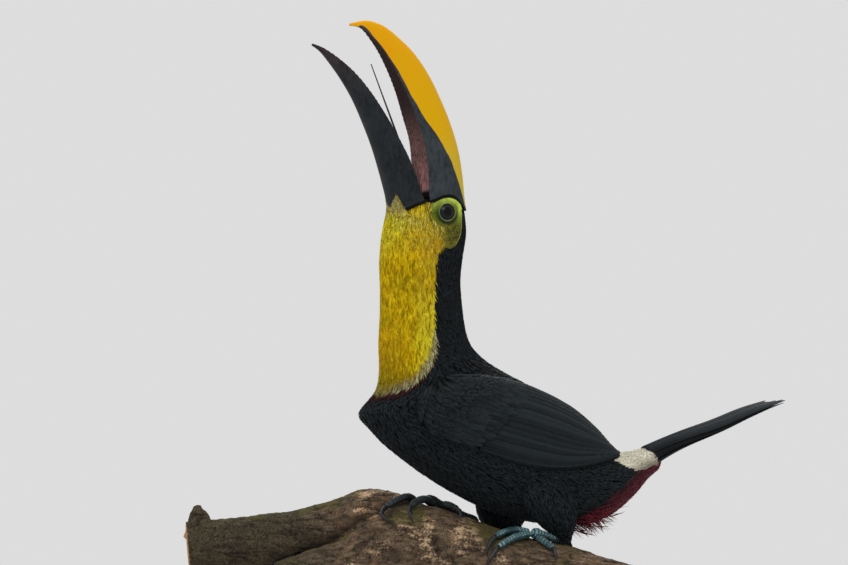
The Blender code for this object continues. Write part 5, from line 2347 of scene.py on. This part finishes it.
@dataclass(frozen=True)
class Perch:
    """The forked, mossy branch that the bird stands on, cut to a short length."""

    stem: Limb = Limb((
        (162, 2, 74, 38), (130, 1, 83, 38), (68, 0, 101, 38), (7, 0, 119, 37), (-20, 2, 127, 37),
        (-45, 5, 134, 37), (-68, 9, 127, 38), (-99, 15, 109, 36), (-128, 20, 100, 34),
        (-158, 24, 90, 33),
    ))
    limb: Limb = Limb((
        (-40, -16, 146, 24), (-66, -15, 155, 26), (-90, -15, 158.5, 27), (-116, -15, 151, 24.5),
        (-155, -14, 143, 23), (-190, -13, 138.5, 22.5), (-222, -12, 136, 22.5),
        (-246, -12, 134, 22),
    ))
    stub: Limb = Limb(((-235, -6, 144, 15), (-235.5, -6, 156, 10.5), (-237, -5, 165, 5.5),
                       (-237.5, -5, 171, 2)), 48)
    voxel: float = 1.35

    def _calm(self, points: Array) -> Array:
        """Give 0 where the feet hold the perch and 1 away from them."""
        names = (f"{part}_{side}_{toe}" for part in ("toe", "claw") for side in SIDES for toe in TOES)
        return ease(nearest(points, node_points(*names))[1], 3.0, 12.0)

    def _crease_shade(self, points: Array) -> Array:
        """Find the crease where the limb leaves the stem, where painted shade goes.

        Args:
            points: Points of the perch.

        Returns:
            1 in the crease and 0 away from it.
        """
        place = np.linspace(0.0, len(self.stem.stations) - 1.0, 90)
        middle = self.stem.frames(place)[0]
        radius = Track(self.stem.stations).at(place)[:, 3]
        gap = np.min([np.linalg.norm(points - spot, axis=-1) - size
                      for spot, size in zip(middle, radius)], axis=0)
        return ease(gap, 1.0, 3.0) * ease(-gap, -13.0, -3.0) * (points[:, 2] < 176.0)

    def build(self, finish: Material) -> None:
        """Fuse, roughen and dress the perch.

        Args:
            finish: The finish of the piece.
        """
        limbs = (self.stem, self.limb, self.stub)
        points, faces, normals = fused([limb.shape() for limb in limbs], self.voxel, 2)
        sawn = np.zeros(len(points))
        ring = np.zeros(len(points))
        for middle, out in (self.stem.end(False), self.stem.end(True), self.limb.end(True)):
            beyond = (points - middle) @ out
            away = np.linalg.norm(points - middle, axis=-1)
            cut = ease(beyond, -1.6, -0.7) * (away < 42.0) * (points[:, 2] < middle[2] + 25.0)
            sawn = np.maximum(sawn, cut)
            ring = np.where(cut > 0, away, ring)
        grain = Grain(47)
        along, across, height = heading_point(*points.T).T
        fibres = stacked(along * 0.35, across, height)
        broad = grain.layered(points, 22.0, 4)
        ridges = 1.0 - np.abs(grain.layered(fibres, 7.0, 3)) * 2.0
        crack = ease(ridges, 0.72, 0.98) * ease(broad, -0.7, 0.3)
        plates = ease(grain.layered(fibres + 50.0, 12.0, 4), 0.02, 0.14)
        relief = broad + 0.9 * plates - 1.3 * crack + 0.4 * grain.layered(points, 3.2, 2)
        moss = ease(normals[:, 2] + 0.9 * grain.layered(points + 90.0, 30.0, 3), 0.55, 1.1)
        relief = relief + moss * (0.5 + 0.9 * grain.layered(points + 13.0, 4.0, 3))
        calm = self._calm(points)
        points = points + normals * (relief * calm * (1.0 - sawn) - 0.2 * (1.0 - calm))[:, None]
        flake = ease(grain.layered(points + 70.0, 16.0, 3), -0.3, 0.4)
        flake = flake * ease(along, -135.0, -95.0) * (0.45 + 0.55 * ease(-along, -70.0, 0.0))
        # The crease of the fork joins the cracks as painted shade.
        crack = np.maximum(crack, self._crease_shade(points))
        item = mesh_object("perch", (points, [faces]), {
            "moss": moss, "flake": flake, "crack": crack, "sawn": sawn, "ring": ring,
            "dusk": ease(-along, 100.0, 165.0)})
        settle(item, "bark", ("perch_stem", "perch_limb", "perch_stub"), finish)


@dataclass(frozen=True)
class Stand:
    """The display stand: a moulded wooden base and two painted rods with collars."""

    length: float = 320.0
    width: float = 170.0
    corner: float = 24.0
    # Moulding: millimetres in from the edge, height.
    moulding: Stations = ((2.0, 0), (0.5, 0.1), (0, 0.6), (0, 8.6), (0.4, 9.2), (1.6, 9.5),
                          (1.7, 10.2), (2.2, 12.2), (3.6, 13.9), (5.6, 14.9), (7.6, 15), (9.6, 15))
    rod_radius: float = 6.0
    # Rods: along, across, height of the top.
    rods: Stations = ((72, 0, 84), (-122, 19, 94))

    def _base(self) -> Shape:
        """Make the base.

        Returns:
            The closed loft.
        """
        turn = full_turn(160)
        around = stacked(np.cos(turn), np.sin(turn))
        corners = np.sign(stacked(np.cos(turn + 1e-6), np.sin(turn + 1e-6)))
        corners = corners * (np.array((self.length, self.width)) / 2 - self.corner)
        rings = [corners + (self.corner - inset) * around for inset, _ in self.moulding]
        return closed_loft(np.array([
            heading_point(ring[:, 0], -ring[:, 1], height)
            for ring, (_, height) in zip(rings, self.moulding)]))

    def _rod(self, along: float, across: float, top: float) -> Shape:
        """Make a rod with its collar.

        Args:
            along: The rod's place along the perch.
            across: Its place across.
            top: The height of its top.

        Returns:
            The closed loft.
        """
        profile = ((2.6, 15.05), (3, 15.3), (3, 17.6), (2.4, 18.6), (0.4, 19.2), (0, 19.6),
                   (0, 40.0), (0, top - 0.6), (-0.6, top))
        wide, height = (np.array(part)[:, None] for part in zip(*profile))
        turn = full_turn(48)
        return closed_loft(heading_point(along + (self.rod_radius + wide) * np.cos(turn),
                                         across - (self.rod_radius + wide) * np.sin(turn), height))

    def build(self, wood: Material, metal: Material) -> None:
        """Make and dress the stand.

        Args:
            wood: The base's finish.
            metal: The rods' finish.
        """
        settle(mesh_object("plinth", self._base()), "stand_wood", ("stand_base",), wood)
        for number, rod in enumerate(self.rods, 1):
            settle(mesh_object(f"rod_{number}", self._rod(*rod)), "stand_steel",
                   (f"stand_rod_{number}",), metal)


# -------- stage


@dataclass(frozen=True)
class Light:
    """One soft area light that faces the bird."""

    name: str
    place: Colour
    size: float
    power: float
    tint: Colour = (1.0, 1.0, 1.0)

    def build(self) -> None:
        """Set up the light."""
        data = bpy.data.lights.new(self.name, "AREA")
        data.shape = "DISK"
        data.size = self.size
        data.energy = self.power
        data.color = self.tint
        item = bpy.data.objects.new(self.name, data)
        item.location = self.place
        aim = Vector((0.0, 0.0, 0.32)) - item.location
        item.rotation_euler = aim.to_track_quat("-Z", "Y").to_euler()
        bpy.context.scene.collection.objects.link(item)


@dataclass(frozen=True)
class Stage:
    """Pale floor, even grey surroundings, soft lights and the camera."""

    radius: float = 3.0
    grey: Colour = paint(221, 221, 221)
    # The camera, in metres: how far away, the width that it sees there, its middle and height.
    distance: float = 8.0
    frame_width: float = 0.7378
    shift: float = -0.0400
    height: float = 0.3658
    lights: tuple[Light, ...] = (
        Light("key", (1.9, -1.5, 2.3), 1.6, 34.0, (1.0, 0.98, 0.95)),
        Light("sky", (-0.3, 0.2, 3.0), 2.4, 30.0),
        Light("rear", (-2.2, 1.6, 1.6), 1.6, 16.0, (0.95, 0.98, 1.0)),
    )

    def _floor(self) -> None:
        """Make the floor, which fades into the surroundings far from the object."""
        rings = np.concatenate((np.linspace(0.02, 1.0, 12), np.linspace(1.2, self.radius, 12)))
        turn = full_turn(96)
        reach = rings[:, None]
        points = stacked(reach * np.cos(turn) / MM, reach * np.sin(turn) / MM, -0.2)
        faces = [grid_faces(*points.shape[:2], wrap=True)[:, ::-1], np.arange(len(turn))[None]]
        item = mesh_object("floor", (points.reshape(-1, 3), faces),
                           {"away": np.repeat(rings, len(turn))})
        recipe = Recipe("pale_floor")
        cloth = recipe.noise(60.0, 3.0)
        colour = recipe.layers(paint(214, 214, 213), (cloth, paint(222, 222, 221)))
        material = recipe.finish(colour, 0.9 - 0.05 * cloth, Specular_IOR_Level=0.1)
        clear = recipe.tree.nodes.new("ShaderNodeBsdfTransparent")
        blend = recipe.tree.nodes.new("ShaderNodeMixShader")
        recipe.plug(blend.inputs[0], recipe.mark("away").rise(0.9, self.radius))
        surface = recipe.tree.nodes["Material Output"].inputs["Surface"]
        for start, end in ((recipe.shader.outputs[0], blend.inputs[1]),
                           (clear.outputs[0], blend.inputs[2]), (blend.outputs[0], surface)):
            recipe.tree.links.new(start, end)
        item.data.materials.append(material)

    def _world(self) -> None:
        """Set the surroundings."""
        world = bpy.data.worlds.new("surroundings")
        world.use_nodes = True
        world.node_tree.nodes["Background"].inputs["Color"].default_value = (*self.grey, 1.0)
        bpy.context.scene.world = world

    def _camera(self) -> None:
        """Place the camera level, beside the bird and a little in front."""
        turn = math.radians(HEADING)
        right = Vector((math.cos(turn), math.sin(turn), 0.0))
        back = Vector((math.sin(turn), -math.cos(turn), 0.0))
        data = bpy.data.cameras.new("camera")
        data.sensor_width = 36.0
        data.lens = 36.0 * self.distance / self.frame_width
        data.clip_end = 60.0
        item = bpy.data.objects.new("camera", data)
        item.location = right * self.shift + Vector((0.0, 0.0, self.height)) + back * self.distance
        item.rotation_euler = (math.pi / 2, 0.0, turn)
        bpy.context.scene.collection.objects.link(item)
        bpy.context.scene.camera = item

    def build(self) -> None:
        """Set up the stage."""
        self._floor()
        self._world()
        for light in self.lights:
            light.build()
        self._camera()
        bpy.context.scene.view_settings.view_transform = "Standard"


# -------- the whole


TUFT = Vane(length=9.5, width=0.95, depth=1.3, proud=0.25, thickness=0.16,
            ragged=0.3, turn=6.0, bend=7.0, root_width=0.8, fullest=0.3)
FACE_TUFT = Vane(length=5.0, width=0.75, depth=0.7, proud=0.15, thickness=0.12,
                 ragged=0.25, turn=7.0, bend=8.0, root_width=0.8, fullest=0.3)
CONTOUR = Vane(length=10.0, width=3.2, depth=2.4, proud=0.1, ragged=0.1, turn=6.0,
               bend=7.0, thickness=0.3)
NAPE = Vane(length=6.5, width=1.7, depth=1.5, ragged=0.15, turn=8.0,
            bend=9.0, thickness=0.3)
CROWN = Vane(length=4.5, width=1.1, depth=0.8, proud=0.1, ragged=0.15, turn=8.0,
             bend=9.0, thickness=0.2)
FLUFF = Vane(length=15.0, width=1.3, depth=2.2, proud=1.2, rows=5, ragged=0.15, turn=3.0,
             bend=4.0, thickness=0.12, root_width=0.8, fullest=0.3)
CRISSUM = Vane(length=12.0, width=1.9, depth=2.0, proud=0.4, stand=0.02, rows=5, ragged=0.25,
               turn=9.0, bend=10.0, thickness=0.25)
LOOSE = Vane(length=15.5, width=1.2, depth=1.0, proud=0.8, stand=0.5, rows=7, ragged=0.3,
             turn=14.0, bend=22.0, thickness=0.2, tip_width=0.25, fullest=0.4)
BAND = Vane(length=8.0, width=1.4, depth=1.8, proud=0.25, ragged=0.3)

# The black plumage's lighter bluish tips are painted sheen.
BLACK_FINISH = PlainPlumage("black_plumage", paint(7, 9, 10), paint(15, 18, 20),
                            paint(33, 39, 43), gloss=0.1)
BODY_COATS = (
    BodyCoat("bib_face", "yellow_feathers", Zone.BIB, (0.2, 3.6), (30, 330), (0.95, 0.85),
             FACE_TUFT, 101),
    BodyCoat("bib_throat", "yellow_feathers", Zone.BIB, (3.3, 6.0), (60, 300), (1.2, 0.9),
             TUFT, 102),
    BodyCoat("bib_breast", "yellow_feathers", Zone.BIB, (5.8, 9.2), (80, 280), (1.25, 0.95),
             TUFT, 103),
    BodyCoat("crown_feathers", "black_feathers", Zone.BLACK, (0.3, 3.6), (-75, 75), (1.4, 1.0),
             CROWN, 104),
    BodyCoat("nape_feathers", "black_feathers", Zone.BLACK, (3.2, 8.2), (-110, 110), (1.9, 1.5),
             NAPE, 105),
    BodyCoat("breast_band", "red_feathers", Zone.BAND, (6.4, 9.6), (80, 280), (2.0, 1.6),
             BAND, 106, plumage="band"),
    BodyCoat("back_feathers", "black_feathers", Zone.BLACK, (7.8, 21.5), (-90, 90), (3.0, 2.6),
             CONTOUR, 107),
    BodyCoat("belly_feathers", "black_feathers", Zone.BLACK, (7.0, 20.0), (85, 275), (2.8, 2.4),
             CONTOUR, 108),
    BodyCoat("rump_fluff", "cream_feathers", Zone.CREAM, (15.2, 21.7), (-140, 140), (1.2, 0.9),
             FLUFF, 109, 3.0),
    BodyCoat("crissum_feathers", "red_feathers", Zone.CRIMSON, (16.0, 21.6), (60, 300),
             (1.8, 1.6), CRISSUM, 110),
    BodyCoat("crissum_fringe", "red_feathers", Zone.CRIMSON, (15.8, 18.5), (125, 235),
             (2.3, 2.2), LOOSE, 111, 14.0, 0.3, "fringe"),
)
PLUMAGES = {
    "yellow_feathers": BibPlumage(),
    "black_feathers": BLACK_FINISH,
    "cream_feathers": PlainPlumage("cream_plumage", paint(220, 208, 180), paint(244, 234, 208),
                                   paint(255, 250, 228), paint(104, 98, 74), 0.05),
    "red_feathers": PlainPlumage("red_plumage", paint(24, 7, 11), paint(68, 19, 29),
                                 paint(112, 36, 52), paint(18, 9, 12), 0.02),
    "band": PlainPlumage("band_plumage", paint(12, 7, 9), paint(32, 13, 17), paint(62, 22, 28)),
    "fringe": PlainPlumage("fringe_plumage", paint(30, 8, 13), paint(86, 20, 32),
                           paint(128, 36, 54), paint(18, 9, 12), 0.02),
}


def main() -> None:
    """Build every piece in its frame and report each one."""
    logging.basicConfig(level=logging.INFO, format="%(name)s: %(message)s")
    wings = (Wing(1.0), Wing(-1.0))
    plumages = {slot: plumage.make() for slot, plumage in PLUMAGES.items()}
    black = plumages["black_feathers"]
    Skin(wings).build((FeatheredSkin().make(), OrbitalSkin().make()))
    for coat in BODY_COATS:
        coat.build(plumages[coat.plumage or coat.slot])
    WingCoat("left", 51).build(wings[0], black)
    WingCoat("right", 52).build(wings[1], black)
    TailCoat().build(black)
    ThighCoat().build(black)
    UPPER_HALF.build(BillHorn("bill_horn").make())
    LOWER_HALF.build(BillHorn("black_bill_horn", panel=paint(38, 42, 46)).make())
    ChinCoat().build(plumages["yellow_feathers"])
    Tongue().build(HornOrFlesh("tongue_flesh", paint(40, 38, 42), paint(84, 74, 76), 0.55).make())
    gloss = EyeGloss().make()
    for side in SIDES:
        Eye(side).build(gloss)
    Leg("left").build(LegSkin().make())
    # The far leg gets a darker copy of the leg skin: painted shade.
    Leg("right").build(LegSkin("shaded_leg_skin", paint(6, 8, 9), paint(20, 26, 29),
                               paint(54, 66, 70)).make())
    Claws().build(HornOrFlesh("claw_horn", paint(12, 12, 14), paint(44, 46, 48), 0.35).make())
    Perch().build(Bark().make())
    Stand().build(PolishedWood().make(), PaintedRod().make())
    Stage().build()


if __name__ == "__main__":
    main()
